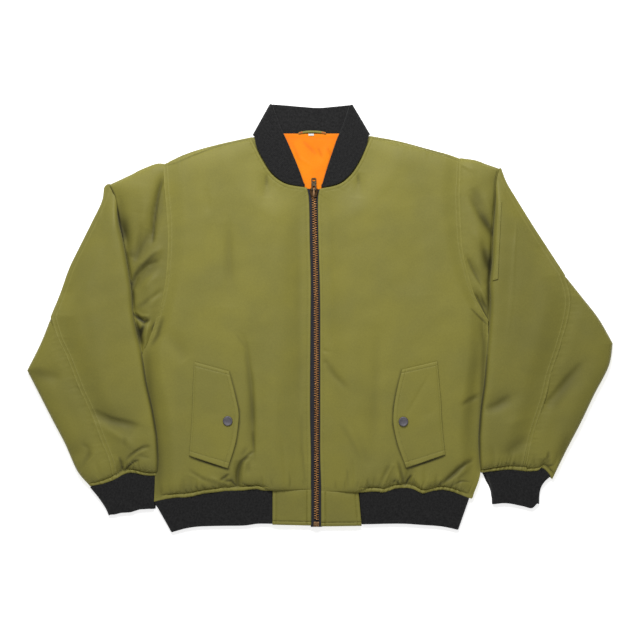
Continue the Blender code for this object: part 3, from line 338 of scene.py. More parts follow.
# %% Seam tables
NECKLINE = {
    "right": [(-117, 306), (-108, 289), (-97, 268), (-81, 245), (-57, 229), (-22, 223)],
    "left": [(86, 309), (78, 290), (67, 266), (52, 244), (31, 228), (-1, 221)],
}
ARMHOLE = {
    "right": [
        (-266, 262.5), (-264, 222), (-260.5, 186), (-258, 148), (-258.5, 107), (-262, 65), (-270, 22),
        (-277, 0),
    ],
    "left": [(239, 272), (238, 235), (237, 206), (239, 157), (242, 118), (249, 84), (263, 38), (284, -1)],
}
SIDE = {
    "right": [
        (-287, -33), (-299, -62), (-297, -111), (-288, -155), (-281, -200), (-276, -252), (-277, -311),
    ],
    "left": [(283, -33), (281, -70), (277, -115), (271, -158), (268, -205), (269, -262), (257, -305)],
}
ZIP_EDGE = {
    "right": [
        (-18.3, 200), (-16.8, 128), (-15.2, 62), (-15.5, 10), (-16, -50), (-16.4, -110), (-16.3, -170),
        (-15, -232), (-15, -291),
    ],
    "left": [
        (-3.8, 200), (-2.8, 128), (-0.7, 62), (0, 10), (0, -50), (0, -110), (0, -170), (0, -232),
        (2, -294),
    ],
}
FOLD_LINE = {
    "right": [
        (-360, 226), (-351, 207), (-345, 172), (-335, 131), (-328, 93), (-321, 49), (-318, 10),
        (-311, -27), (-303, -60), (-294.5, -111), (-284.5, -155), (-277, -200), (-275, -240),
        (-277, -266),
    ],
    "left": [
        (305, 254), (300, 232), (299, 200), (295, 150), (293, 100), (289, 60), (290, 26), (288, -10),
        (283.5, -62), (279.3, -111), (273.3, -155), (270, -200), (271, -235), (274, -261),
    ],
}
SLEEVE_OUTER = {
    "right": [
        (-366, 224), (-370, 200), (-387, 165), (-407, 125), (-426, 86), (-441, 44), (-457, 3),
        (-475, -42), (-498, -88), (-477, -129), (-455, -172), (-433, -214), (-413, -258), (-391, -284),
    ],
    "left": [
        (309, 252), (318, 230), (336, 200), (362, 158), (386, 121), (415, 75), (446, 36), (474, 0),
        (498, -42), (491, -81), (466, -130), (444, -176), (419, -224), (395, -273),
    ],
}
ELBOW_SEAM = {
    "right": [
        (-457, 3), (-446, -32), (-430, -66), (-411, -114), (-389, -163), (-372, -207), (-359, -240),
        (-352, -275.3),
    ],
    "left": [
        (415, 75), (425, 36), (421, 0), (408, -46), (393, -91), (383, -132), (367, -182), (358, -217),
        (350, -260),
    ],
}
SHOULDER = {
    "right": [(-266, 262.5), (-240, 273), (-213, 283.5), (-170, 296), (-117, 307)],
    "left": [(239, 272), (226, 275.5), (188, 286.5), (170, 291.5), (86, 310)],
}
SHOULDER_BACK = {
    "right": [(-118, 309), (-168, 298), (-213, 286), (-241, 275.5)],
    "left": [(87, 311), (133, 302.5), (186, 288.5), (224, 278)],
}
HEAD_LINE = {
    "right": [(-360, 226), (-351, 230), (-319, 245), (-307, 251.5), (-280, 262), (-266, 262.5)],
    "left": [(305, 254), (298, 256.5), (282, 262), (264, 268.5), (239, 272)],
}
HEM_SEAM = {
    "right": [
        (-277, -311), (-262, -307.5), (-248, -305), (-238, -303.8), (-228, -304), (-213, -302),
        (-204, -299.5), (-192, -297), (-176, -295.2), (-158, -293.2), (-140, -292.6), (-126, -291.7),
        (-112, -290), (-104, -290), (-96, -292), (-81, -292.4), (-48, -292), (-15, -291),
    ],
    "left": [
        (257, -306), (246, -303), (235, -298.5), (224, -294.3), (212, -291.6), (202, -291.3), (188, -294),
        (176, -297), (169, -295.6), (161, -291.4), (150, -288.4), (138, -288.2), (127, -289),
        (119, -292.2), (107, -295.6), (93, -294), (67, -295.5), (34, -295), (2, -294),
    ],
}
HEM_BACK = [
    (-277, -311), (-220, -304), (-160, -298), (-80, -295), (0, -295), (90, -296), (180, -298),
    (257, -305),
]
CUFF_SEAM = {
    "right": [
        (-352, -275.3), (-344, -271.3), (-337, -267), (-330, -263.7), (-321, -262.2), (-311, -263.6),
        (-302, -266), (-291, -267.3), (-277, -267.3),
    ],
    "left": [(350, -260), (337, -258.3), (320, -257), (298, -259), (274, -262)],
}
ELBOW_END = {
    "right": [(-391, -285), (-379, -283.4), (-367, -280.5), (-352, -275.3)],
    "left": [(395, -273), (390, -265.5), (384, -258.5), (377, -254), (369.5, -259), (350, -260)],
}
CUFF_BACK = {
    "right": [(-391, -284), (-352, -272), (-321, -262), (-278.5, -264)],
    "left": [(395, -273), (372, -255), (327, -254), (274, -258)],
}
SLEEVE_TIP = {
    "right": [(-367, 223), (-363.8, 227.6), (-359, 229), (-355, 227)],
    "left": [(309, 252), (308.5, 255.3), (306.4, 256.2), (305, 254)],
}
HEAD_ROWS = {"right": 9, "left": 8}
ELBOW_ROW = {"right": 6, "left": 5}
ELBOW_TIP = 0.15
END_REACH = 45

# %% [markdown]
# A seam line is a smooth curve through its points, so that a panel keeps its cut however finely
# it is divided. The function takes all the places at once, which numpy does quickly.


# %% Smooth lines
def smooth_line(points, at, corners=()):
    """Points of a smooth line through the given ones, at counted in points, with sharp corners."""
    known = np.array(points, float)
    last = len(known) - 1
    at = np.asarray(at, float)
    start = np.clip(at.astype(int), 0, last - 1)
    part = (at - start)[..., None]
    here, there = known[start], known[start + 1]
    slopes = np.zeros_like(known)
    slopes[1:-1] = (known[2:] - known[:-2]) / 2
    sharp = np.zeros(last + 1, bool)
    sharp[[0, last, *corners]] = True
    leaving = np.where(sharp[start][..., None], there - here, slopes[start])
    coming = np.where(sharp[start + 1][..., None], there - here, slopes[start + 1])
    cube, square = part**3, part**2
    return (
        (2 * cube - 3 * square + 1) * here
        + (cube - 2 * square + part) * leaving
        + (3 * square - 2 * cube) * there
        + (cube - square) * coming
    )


def distances_along(points):
    """How far along a line each of its points is."""
    steps = np.linalg.norm(np.diff(np.asarray(points, float), axis=0), axis=1)
    return np.concatenate([[0], np.cumsum(steps)])


def along(points, share):
    """The points at these shares of a line's length."""
    reached = distances_along(points)
    return smooth_line(points, np.interp(share * reached[-1], reached, np.arange(len(points))))


def rise(distance, width):
    """A quarter round, from 0 at a seam to 1 at this distance from it."""
    reach = np.clip(np.asarray(distance, float) / max(width, 0.001), 0, 1)
    return np.sqrt(1 - (1 - reach) ** 2)


def swelling(distance, kind):
    """How far the padding has risen: a quarter round from a rim, and a gentle slope from a seam
    that meets its neighbour flush."""
    if kind.rim and not kind.gentle:
        return rise(distance - kind.margin, kind.roll)
    reach = np.clip((distance - kind.margin) / kind.roll, 0, 1)
    return reach**2 * (3 - 2 * reach)


print("Right sleeve's fold line, mm:", round(distances_along(FOLD_LINE["right"])[-1]))

# %% [markdown]
# ## Folds
#
# The wadding makes broad folds, which the solids have too, and the cloth over it breaks into
# narrower creases. Each is a soft trough or ridge along a line through listed places, with its
# own half width and height in millimetres. It leans when one flank is steeper than the other,
# and it fades towards its ends. Cloth simulation makes folds of its own, but not the ones that
# this jacket has, so they are listed one by one. The broad folds are listed in millimetres, and
# the rest by their places in the photograph.

# %% Folds of the wadding
Fold = namedtuple("Fold", "places half height lean", defaults=(0,))
TAIL = 0.3


def read_folds(rows):
    """Folds from rows of places in the photograph, half width, height and lean."""
    return [Fold(spots(*places), *sizes) for places, *sizes in rows]


# Each row: x and y of its two ends, its half width and its height.
BROAD_ROWS = {
    "front_right": [
        (-116, -40, -114, -250, 18, -2.4), (-92, -60, -90, -240, 16, 1.2),
        (-138, -240, -143, -296, 12, -5), (-162, -262, -168, -296, 10, -3),
        (-215, -268, -222, -298, 12, -3), (-90, 248, -92, 205, 10, -2.2), (-155, 160, -156, 20, 24, -1.6),
        (-190, 215, -214, 60, 26, 1.2), (-38, 190, -37, -210, 14, -1.4), (-262, -20, -226, -70, 16, -2.4),
    ],
    "front_left": [
        (152, -246, 152, -292, 12, -5), (268, -238, 214, -284, 14, -4), (122, -250, 118, -294, 12, -3),
        (66, 248, 64, 205, 10, -2.2), (92, -30, 86, -250, 20, -2), (14, 190, 15, -210, 12, -1.4),
        (150, 190, 168, 40, 26, -1.6), (268, -40, 258, -220, 18, -2.8), (196, 210, 204, 90, 24, 1.2),
    ],
    "sleeve_right_head": [
        (-266, 238, -284, 140, 11, -4.5), (-288, 150, -312, 98, 12, -3.5), (-276, 98, -318, 52, 11, -4.5),
        (-334, 150, -330, 112, 12, -3), (-300, 230, -306, 180, 16, 1.5), (-290, 60, -280, 20, 12, 1.5),
        (-320, 10, -290, -6, 9, -4.5),
    ],
    "sleeve_left_head": [
        (259, 222, 288, 155, 12, -3.5), (250, 100, 284, 56, 10, -4), (256, 49, 286, 10, 9, -3.5),
        (262, 190, 272, 120, 16, 1.5),
    ],
    "sleeve_right_front": [
        (-390, -152, -300, -195, 18, -3), (-337, -240, -340, -270, 10, -4),
        (-288, -214, -322, -244, 13, -3), (-400, 60, -370, -100, 30, 1.5),
        (-372, 175, -362, 95, 14, -1.2),
    ],
    "sleeve_left_front": [
        (278, -150, 326, -134, 14, -3), (304, -232, 356, -200, 15, -3), (396, 60, 350, -90, 30, 1.5),
        (322, 165, 318, -20, 10, -1),
    ],
    "sleeve_right_elbow": [(-440, -235, -388, -215, 16, -2.5), (-494, -90, -440, -100, 20, -2)],
    "sleeve_left_elbow": [(384, -150, 446, -80, 18, -2.8), (378, -236, 380, -264, 10, -3.5)],
}

BROAD_FOLDS = {
    node: [Fold([row[:2], row[2:4]], *row[4:]) for row in rows] for node, rows in BROAD_ROWS.items()
}
print("Broad folds:", sum(map(len, BROAD_FOLDS.values())))

# %% [markdown]
# The shell's own creases are narrower and sharper than the folds of the wadding, because thin
# nylon buckles in short ridges between the seams that hold it. They are listed one by one too,
# because noise would put them anywhere, and these are where they show in the photograph.

# %% Creases of the shell
# Each row: the places of its line, its half width, its height and its lean, if it has one.
CREASE_ROWS = {
    "front_right": [
        ([(266.5, 175), (266.6, 187)], 2.2, -1.3), ([(275, 184), (276, 192)], 2.5, -0.7),
        ([(243, 335), (247, 346), (252, 385), (253, 415), (254, 462)], 5, -2.4, 0.4),
        ([(256, 370), (259, 440)], 4.5, 1.3), ([(184, 478), (182, 494)], 5, -1.6),
        ([(283, 440), (286, 484)], 3.5, -0.8), ([(301.5, 416), (302, 450), (305.5, 484)], 2.4, -0.9),
        ([(300, 205), (300, 300), (300, 440)], 6, -1), ([(276, 380), (274, 470)], 8, 0.8),
        ([(229, 222), (230.5, 285)], 9, -1.5, 0.3), ([(207, 190), (208, 212)], 6, -1.2),
        ([(222, 222), (220, 320)], 10, 0.8),
    ],
    "front_left": [
        ([(358, 175), (358.6, 186)], 2.2, -1.3), ([(350, 183), (347, 191)], 2.5, -0.6),
        ([(480, 395), (470, 400), (462, 405)], 4, -2), ([(352, 424), (360, 445), (368, 466)], 6, -1.2),
        ([(325, 364), (335, 376), (347, 388)], 6, -1.2), ([(323, 350), (328, 352)], 3, -1),
        ([(323, 362), (328, 363)], 3, -1), ([(425, 468), (424, 489)], 4, -1.4),
        ([(437, 474), (434, 492)], 4, -1.8), ([(352, 462), (351, 486)], 3.5, -1.6),
        ([(373, 474), (377, 490)], 4, -1.2), ([(329, 210), (329, 340)], 6, -1),
        ([(378, 330), (374, 440)], 8, -0.9),
    ],
    "sleeve_right_head": [
        ([(164.3, 176), (158.5, 195), (155, 215), (153.5, 242)], 3.6, -3.6, 0.4),
        ([(119, 196), (123, 222), (127, 246)], 8, -3.4, -0.3), ([(147, 200), (143, 230)], 8, 1.6),
        ([(141, 226), (139, 246), (136, 262)], 4.5, -2.2), ([(163, 248), (150, 256), (141, 264)], 6, 2),
        ([(159, 261), (148, 266), (138, 276), (131, 292)], 4.2, -3.8, 0.3),
        ([(156, 276), (144, 288)], 6, 1.6), ([(162, 291), (150, 300), (137, 309)], 4, -2.2),
        ([(136, 312), (142, 316), (149, 316.5)], 3, 2.6),
        ([(132, 312.5), (138, 317.5), (144.5, 322), (149, 320.5)], 2.4, -5),
        ([(134, 322), (139, 332), (142, 345)], 4.5, -4), ([(149, 326), (146, 338)], 3.2, 1.6),
    ],
    "sleeve_left_head": [
        ([(460, 164.5), (467, 168), (475, 171)], 2.2, 1.4), ([(461, 167), (468, 171)], 2, -1),
        ([(471, 198), (480, 214), (488, 226), (493, 234)], 5, -3.2, 0.4),
        ([(484, 196), (491, 214)], 6, 1.6), ([(474, 232), (483, 248)], 6, 1.4),
        ([(482, 242), (486, 256), (489, 268)], 5, -3.2),
        ([(466.5, 256), (472, 269), (480, 284)], 2, -1.8), ([(476, 262), (484, 282)], 5, 1.6),
        ([(475, 294), (481.5, 306), (487.5, 321)], 2.2, -3), ([(480, 296), (486, 308)], 2, -1.8),
        ([(480, 290), (486, 299)], 3, 1.4),
    ],
    "sleeve_right_front": [
        ([(95, 411), (112, 419), (139, 425)], 6, -2.6, 0.3),
        ([(98, 424), (126, 440), (141, 450)], 6, 1.2), ([(144, 420), (134, 445)], 8, 1.2),
        ([(101, 206), (99, 226)], 2.2, 1.2), ([(108, 462), (110, 476)], 3, -1.4),
        ([(138, 462), (139, 472)], 3, -1.4), ([(90, 300), (98, 340), (104, 380)], 10, 0.8),
    ],
    "sleeve_left_front": [
        ([(485, 409), (496, 405), (510, 396)], 7, -2, 0.3),
        ([(503, 455), (514, 448), (526, 438)], 8, -0.9, 0.3), ([(505, 424), (527, 418)], 9, 1.2),
        ([(516.5, 220), (513.5, 250), (511.5, 285), (509.4, 314), (506.7, 334)], 2.2, 0.9),
        ([(492, 446), (494, 468)], 4, -1.6), ([(510, 452), (511, 466)], 3, -1.2),
        ([(521, 454), (522, 466)], 3, -1.4),
    ],
    "sleeve_right_elbow": [([(97, 462), (100, 476)], 3.5, -1.6), ([(30, 372), (62, 378)], 8, -1.2)],
    "sleeve_left_elbow": [
        ([(545, 405), (562, 384), (580, 364)], 6, -2.4, 0.3), ([(557, 452), (554, 470)], 3.5, -1.6),
        ([(534, 456), (535, 468)], 3, -1.2),
    ],
    "pocket_flap_left": [
        ([(405.5, 414), (416, 396), (427.5, 376)], 3.5, -0.8, 0.5), ([(420, 416), (436, 409)], 5, -0.4),
    ],
    "pocket_flap_right": [([(206, 412), (222, 414)], 6, -0.35)],
}

CREASES = {node: read_folds(rows) for node, rows in CREASE_ROWS.items()}
print("Creases:", sum(map(len, CREASES.values())))

# %% [markdown]
# Where the cloth sees little light its shade is painted into its colour: deep in a fold, beside a
# sleeve or a flap that lies higher, along the sleeves' fold lines, and broadly over the sleeves.
# Each painted shade is listed in the same way, with its half width and its strength from 0 to 1,
# and the cloth carries it as an attribute.

# %% Shade in the deep folds
SHADE_ROWS = {
    "front_right": [
        ([(163, 318), (158, 335), (152, 345)], 4, 0.5),
        ([(147, 350), (149, 392), (155, 430), (158, 465), (157.5, 495)], 9, 0.5),
        ([(252.5, 392), (253, 420)], 5, 0.16), ([(266.5, 176), (266.6, 186)], 2.2, 0.3),
        ([(229, 236), (230, 275)], 9, 0.05),
        ([(246, 352), (250, 385), (252.5, 410), (254, 450)], 3.2, 0.15),
        ([(237, 335), (246.5, 347)], 3, 0.12), ([(301.5, 416), (302, 450), (305.5, 484)], 2.2, 0.2),
        ([(289.4, 472), (289.6, 488)], 1.6, 0.16),
    ],
    "front_left": [
        ([(481, 322), (484, 345), (482.5, 385), (480.5, 430), (479, 470)], 5, 0.5),
        ([(478, 396), (464, 404)], 5, 0.28), ([(324, 358), (336, 376), (347, 388)], 5, 0.18),
        ([(341, 424), (350, 438), (359, 457)], 5, 0.14), ([(347, 468), (347.5, 484)], 2.2, 0.2),
        ([(358, 175), (358.6, 185)], 2.2, 0.25),
    ],
    "sleeve_right_head": [
        ([(146, 190), (150, 300)], 60, 0.18),
        ([(110, 186), (112.3, 191), (115.2, 200), (117.8, 212), (120.5, 227), (123.4, 241)], 1.9, 0.9),
        ([(118, 206), (121.5, 222), (125, 238)], 4.5, 0.35),
        ([(123.5, 241), (127.5, 262), (131.3, 284)], 2.6, 0.55),
        ([(131.3, 282), (132.5, 297), (132, 311)], 4.5, 0.7),
        ([(149, 234), (143.8, 243), (137.7, 255.5), (134.6, 261.6)], 4, 0.17),
        ([(125, 218), (126, 229), (124.5, 240)], 7, 0.38), ([(129, 250), (133, 258)], 7, 0.3),
        ([(163.5, 179), (160, 189), (157.8, 201), (156, 215), (154, 228), (153.3, 242)], 2.4, 0.45),
        ([(132, 286), (134.5, 276), (140, 268), (147, 262), (156.5, 252.5)], 3.4, 0.4),
        ([(150, 300), (138, 309)], 5, 0.25),
        ([(132, 312.5), (138, 317.5), (144.5, 322), (149, 320.5)], 2.6, 0.9),
        ([(135, 322), (139, 332), (142, 345)], 5, 0.9), ([(144, 325), (141, 334)], 3.5, 0.9),
        ([(156, 322), (152, 331)], 3, 0.7),
    ],
    "sleeve_left_head": [
        ([(474, 190), (480, 300)], 60, 0.03),
        ([(500, 171), (497, 182), (496, 198), (494.5, 220), (493, 234)], 4, 0.75),
        ([(493, 234), (491, 255), (488.5, 282), (488.5, 305), (487, 322)], 4.5, 0.7),
        ([(480, 214), (489, 228), (493, 236)], 7, 0.6), ([(483, 248), (488, 270)], 8, 0.62),
        ([(473, 190), (479, 206)], 8, 0.14), ([(467, 258), (472.5, 270), (481, 286)], 1.8, 0.24),
        ([(475.5, 295), (481.5, 306), (487.5, 321)], 1.8, 0.65), ([(480.5, 298), (486, 309)], 2, 0.5),
    ],
    "sleeve_right_front": [
        ([(96, 215), (98, 320), (110, 440)], 90, 0.1), ([(95, 413), (112, 420), (137, 425)], 6, 0.2),
    ],
    "sleeve_left_front": [
        ([(520, 215), (530, 320), (516, 440)], 90, 0.16),
        ([(486, 408), (496, 404.5), (506, 398)], 7, 0.12),
        ([(504, 454), (514, 448), (523, 440)], 8, 0.05),
    ],
    "sleeve_left_elbow": [
        ([(580, 300), (575, 380), (550, 450)], 90, 0.16), ([(553, 407), (562, 391), (569, 381)], 8, 0.16),
    ],
    "sleeve_right_elbow": [
        ([(50, 330), (70, 400), (92, 460)], 90, 0.1), ([(30, 372), (50, 376)], 10, 0.12),
    ],
}

SHADES = {node: read_folds(rows) for node, rows in SHADE_ROWS.items()}
# These follow the flaps' edges, as painted shadows beside and below each flap, or darken the hem
# blocks a little all over, so they are in millimetres.
flap_side_shadow = [(-153, -90), (-144, -124), (-137, -156), (-137, -176), (-142, -211), (-155, -255)]
flap_low_shadow = [(-155, -255), (-188, -244.8), (-219, -234.6)]
SHADES["front_right"] += [Fold(flap_side_shadow, 1.8, 0.7), Fold(flap_low_shadow, 2.3, 0.92)]
flap_side_shadow = [(138, -86), (129.5, -120), (124, -152), (123.5, -180), (131, -214), (145, -253)]
flap_low_shadow = [(146, -254.3), (179, -243.4), (210, -232.4)]
SHADES["front_left"] += [Fold(flap_side_shadow, 1.8, 0.75), Fold(flap_low_shadow, 2.3, 0.88)]
SHADES["hem_block_right"] = [Fold([(-48, -285), (-48, -360)], 90, 0.07)]
SHADES["hem_block_left"] = [Fold([(36, -285), (36, -360)], 90, 0.07)]
print("Shaded places:", sum(map(len, SHADES.values())))

# %% [markdown]
# The knit draws the shell in at the hem and the cuffs, and the cloth breaks there into its
# sharpest folds. Each is a trough or a ridge with its own shade: half width, height, strength of
# the shade and lean, if it has one. The shade is a little narrower than the fold.

# %% Gathers at the hem and the cuffs
GATHERS = {
    "front_right": [
        ([(165, 166), (177.2, 163.1), (194.4, 155.4), (213.6, 147.8), (240.3, 141.1), (249.9, 138.2)],
         1.5, -0.7, 0.4),
        ([(190.3, 470.2), (196, 474.2), (204, 478.8), (212, 481.7), (217, 484)], 3.4, -1.6, 0.2),
        ([(211, 477.5), (221, 481), (231, 485.5)], 3, 1.5, 0),
        ([(229, 473.6), (224.8, 477.1), (220.5, 479.6)], 2, -2.4, 0.55),
        ([(225.5, 480), (231.7, 480.5), (234.3, 483.6), (237, 486.5)], 1.7, -2.6, 0.65),
        ([(247.5, 457), (242, 461), (239.7, 465.6), (238, 471.3), (237.4, 478.8), (238, 486)],
         2.8, -4.2, 0.55),
        ([(247.2, 447.2), (244.3, 451.8), (242, 455.8)], 4, -1.2, 0.14),
        ([(253, 432), (253.5, 441.5), (254, 450)], 2, -1.6, 0.24),
        ([(254.2, 451), (248.9, 454.1), (243.5, 459.5)], 2.2, -1.8, 0.28),
        ([(248.9, 463), (248.9, 472)], 3.4, -1, 0.12),
        ([(242, 482.2), (246, 484.5), (249, 485.8), (255, 486)], 1.2, -1.6, 0.7),
        ([(246, 461), (243.6, 472), (243, 481)], 3.6, 2.2, 0),
        ([(234, 459), (232.8, 468), (233.5, 477)], 4.6, 1.8, 0),
        ([(185, 489), (188.5, 494)], 1.5, -1.2, 0.3), ([(190.5, 488), (194, 493)], 1.4, -0.9, 0.2),
        ([(196, 486), (200, 491.5)], 1.6, -1.3, 0.32), ([(202, 485), (207, 490.5)], 1.5, -1.2, 0.26),
        ([(211, 484), (216, 489)], 1.5, -1.1, 0.3), ([(219, 484), (224, 488.5)], 1.4, -0.9, 0.22),
        ([(262, 476), (261, 485)], 2.2, -0.8, 0.12), ([(271, 478), (272.5, 486)], 1.6, -0.7, 0.16),
        ([(291, 478), (290, 487)], 1.8, -0.7, 0.14), ([(303, 480), (304, 487)], 1.6, -0.6, 0.12),
        ([(170, 487), (171, 496)], 1.8, -1, 0.18), ([(162, 488), (161, 498)], 2, -1, 0.16),
    ],
    "front_left": [
        ([(461, 162), (453.8, 158.9), (442.4, 154.5), (415.6, 145.9), (396.5, 141.1), (371.6, 138.2)],
         1.5, -0.7, 0.4),
        ([(393.3, 463.5), (388, 474), (382.2, 485.8)], 2.4, 1.3, 0),
        ([(389.5, 464), (384.5, 474), (379.5, 485)], 3.6, -1.3, 0.12),
        ([(411, 475), (407.9, 479.4), (405, 485.5)], 1.6, -3.4, 0.85),
        ([(414, 473), (411.8, 479), (411.5, 485)], 2.2, 1.6, 0),
        ([(392, 482.5), (394.6, 480.4), (397, 480.8), (399.5, 485)], 1.4, -2.4, 0.7),
        ([(398.1, 461.9), (400.5, 471.5), (402.5, 479), (403.5, 485)], 3, -2.8, 0.4),
        ([(405, 479), (402, 486)], 1.8, 1.2, 0),
        ([(471.5, 461), (465, 464.3), (459.5, 468.3), (454.7, 473.1), (449.2, 477.8), (438.8, 485.8)],
         3.6, -3.4, 0.48, 0.35),
        ([(468, 468), (458, 475.5), (450, 482)], 3.6, 1.6, 0),
        ([(469.5, 482), (464.5, 480.8), (460.3, 481), (454.7, 483.4), (450.8, 486.2)], 1.5, -1.6, 0.4),
        ([(414, 477), (420, 485), (424, 488)], 2.6, 1.4, 0), ([(431, 482), (429, 489)], 1.6, -1, 0.25),
        ([(441, 481), (437, 487)], 1.5, -1, 0.3), ([(367, 478), (369, 488)], 1.7, -0.9, 0.2),
        ([(345, 479), (344, 489)], 1.6, -0.8, 0.18), ([(335, 481), (336, 489)], 1.5, -0.7, 0.15),
        ([(358, 480), (357, 488)], 1.5, -0.7, 0.15), ([(380, 483), (378, 489)], 1.4, -0.8, 0.22),
        ([(462, 487), (460, 493)], 1.4, -0.8, 0.2),
        ([(471, 309), (479, 317), (487.5, 325.5)], 1.8, -1.6, 0.55),
        ([(475.5, 306), (483, 316)], 2.2, 1.2, 0),
    ],
    "sleeve_right_front": [
        ([(120.3, 456.7), (121.5, 460.3), (122.7, 465.2), (122.1, 468.8), (119.7, 471.8), (116, 475)],
         1.7, -3, 0.72),
        ([(117.6, 456.5), (116.8, 466)], 2.4, 1.8, 0),
        ([(149.4, 445.2), (142.7, 447), (136.7, 450.6), (131.8, 454.2), (126.5, 459.5)],
         2.6, -2.8, 0.36, -0.35),
        ([(147, 449.2), (138, 453.2), (130, 459.5)], 2.8, 2, 0),
        ([(139, 459.8), (134.8, 460.9), (131.2, 463.9), (127.6, 467.6), (124.3, 471.5)], 1.6, -3.6, 0.9),
        ([(130.5, 460), (126, 465), (124.5, 469)], 1.8, 1.3, 0),
        ([(126, 437), (124.5, 446)], 4.5, -1.2, 0.13), ([(141, 456), (150, 457)], 2.4, -1, 0.12),
        ([(105, 470), (107, 478)], 1.5, -0.8, 0.22), ([(133, 465), (134, 470)], 1.4, -0.9, 0.25),
        ([(146, 465), (147, 471)], 1.5, -0.7, 0.15),
    ],
    "sleeve_right_elbow": [
        ([(96.5, 452), (90, 461.5), (83.9, 469.4), (82.1, 475)], 1.6, 1.5, 0),
        ([(92, 452), (86, 461), (80.5, 470)], 5, -1.8, 0.14),
        ([(82, 443), (89.5, 448), (88.5, 457)], 4, -1, 0.1), ([(92, 478), (94, 484)], 1.6, -0.8, 0.2),
    ],
    "sleeve_left_front": [
        ([(507, 462), (508, 467)], 1.4, -0.9, 0.25), ([(513, 462), (514.5, 467)], 1.5, -1, 0.35),
        ([(518, 463), (519, 468)], 1.4, -0.8, 0.3), ([(498, 463), (497, 468)], 1.5, -0.7, 0.15),
        ([(489, 466), (488, 471)], 1.5, -0.7, 0.15),
    ],
    "sleeve_left_elbow": [
        ([(548, 452), (547.3, 458), (547, 463)], 2.8, -1.8, 0.35),
        ([(552.5, 464.5), (547.5, 466), (543.5, 465)], 1.5, -2.2, 0.65),
        ([(546.5, 467), (550, 469.5), (553, 473)], 1.3, -1.3, 0.5),
        ([(557.5, 462), (553.5, 474)], 2, 1.2, 0),
        ([(567, 436), (562.5, 448), (558, 461)], 8, -1.2, 0.26),
        ([(534, 461), (535, 467)], 1.4, -0.8, 0.2),
    ],
}
SHADE_SHARE = 0.85
# A painted shade runs along each sleeve's fold line, where the sleeve lies higher than the body.
for side in ("right", "left"):
    SHADES[f"sleeve_{side}_front"].append(Fold(FOLD_LINE[side][8:], 2.2, 0.75))
for node, gathers in GATHERS.items():
    for places, half, high, strength, *lean in gathers:
        CREASES[node].append(Fold(spots(*places), half, high, *lean))
        if strength:
            SHADES[node].append(Fold(spots(*places), SHADE_SHARE * half, strength, *lean))
print("Gathers:", sum(map(len, GATHERS.values())))


def off_line(line, x, y):
    """Each place's distance from a line through points, the share of the line's length where it
    is nearest, and its side, 1 or -1."""
    line = np.array(line, float)
    runs = np.linalg.norm(np.diff(line, axis=0), axis=1)
    nearest, share, side = np.full_like(x, 1e9), np.zeros_like(x), np.zeros_like(x)
    done = 0
    for start, end, run in zip(line, line[1:], runs):
        step = (end - start) / run
        reach = np.clip((x - start[0]) * step[0] + (y - start[1]) * step[1], 0, run)
        off_x, off_y = x - start[0] - reach * step[0], y - start[1] - reach * step[1]
        off = np.hypot(off_x, off_y)
        closer = off < nearest
        nearest = np.where(closer, off, nearest)
        share = np.where(closer, (done + reach) / runs.sum(), share)
        side = np.where(closer, np.sign(off_x * step[1] - off_y * step[0]), side)
        done += run
    return nearest, share, side


def fold_height(folds, x, y):
    """How far the folds lift or lower the cloth at these places."""
    total = np.zeros_like(x)
    for fold in folds:
        nearest, share, side = off_line(fold.places, x, y)
        half = fold.half * (1 + fold.lean * side)
        fade = TAIL + (1 - TAIL) * np.sin(np.pi * share) ** 0.6
        total += fold.height * np.exp(-((nearest / half) ** 2)) * fade
    return total


# %% [markdown]
# Where a seam draws the cloth in, small puckers run off it at right angles, and the whole shell
# is never quite even. Both are sums of waves whose lengths don't fit each other, so they don't
# repeat, and their phases come from a fixed seed, so they are the same in each run.


# %% Puckers and waviness
def seed_of(name):
    """A fixed seed for a piece."""
    return sum(ord(letter) for letter in name)


def uneven(distance, pitch, seed):
    """An uneven ripple along a seam, from -1 to 1, with about this pitch."""
    chance = random.Random(seed)
    total = np.zeros_like(np.asarray(distance, float))
    for size, share in ((0.61, 0.3), (1, 0.45), (1.73, 0.35), (2.9, 0.25)):
        phase = chance.uniform(0, FULL_TURN)
        total += share * np.sin(FULL_TURN * distance / (pitch * size) + phase)
    return np.clip(total, -1, 1)


def waviness(x, y, seed, sizes):
    """A low uneven swell over the cloth, from about -1 to 1."""
    chance = random.Random(seed)
    total = np.zeros_like(x)
    for size in sizes:
        for _ in range(3):
            turn, phase = chance.uniform(0, math.pi), chance.uniform(0, FULL_TURN)
            run = x * math.cos(turn) + y * math.sin(turn)
            bend = 0.8 * np.sin(FULL_TURN * (x - y) / (3.1 * size) + phase * 2)
            total += np.sin(FULL_TURN * run / size + phase + bend) / (3 * len(sizes))
    return total


# %% [markdown]
# ## Making a layer of cloth
#
# A layer is a grid of faces from one of bmesh's own operators, extruded to give it a back, with
# its points then put where the panel's cut and its padding say. The back of a layer that lies on
# something flat is dissolved to one face, because nobody sees it. Rounded rims close it.


# %% A closed layer of cloth
def add_piece(name, mesh, finish):
    """A piece with this mesh and one material, which rides on the jacket."""
    mesh.materials.append(finish)
    mesh.shade_smooth()
    piece = bpy.data.objects.new(name, mesh)
    scene.collection.objects.link(piece)
    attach(piece, "jacket")
    return piece


def put_object(name, mesh_maker, finish):
    """A piece from a bmesh in millimetres."""
    bmesh.ops.recalc_face_normals(mesh_maker, faces=mesh_maker.faces[:])
    if mesh_maker.calc_volume(signed=True) < 0:
        bmesh.ops.reverse_faces(mesh_maker, faces=mesh_maker.faces[:])
    bmesh.ops.scale(mesh_maker, vec=(MM, MM, MM), verts=mesh_maker.verts[:])
    mesh = bpy.data.meshes.new(name)
    mesh_maker.to_mesh(mesh)
    mesh_maker.free()
    return add_piece(name, mesh, finish)


def stacked(x, y, z):
    """A grid of points from their x, y and z."""
    return np.stack(np.broadcast_arrays(x, y, z), axis=-1)


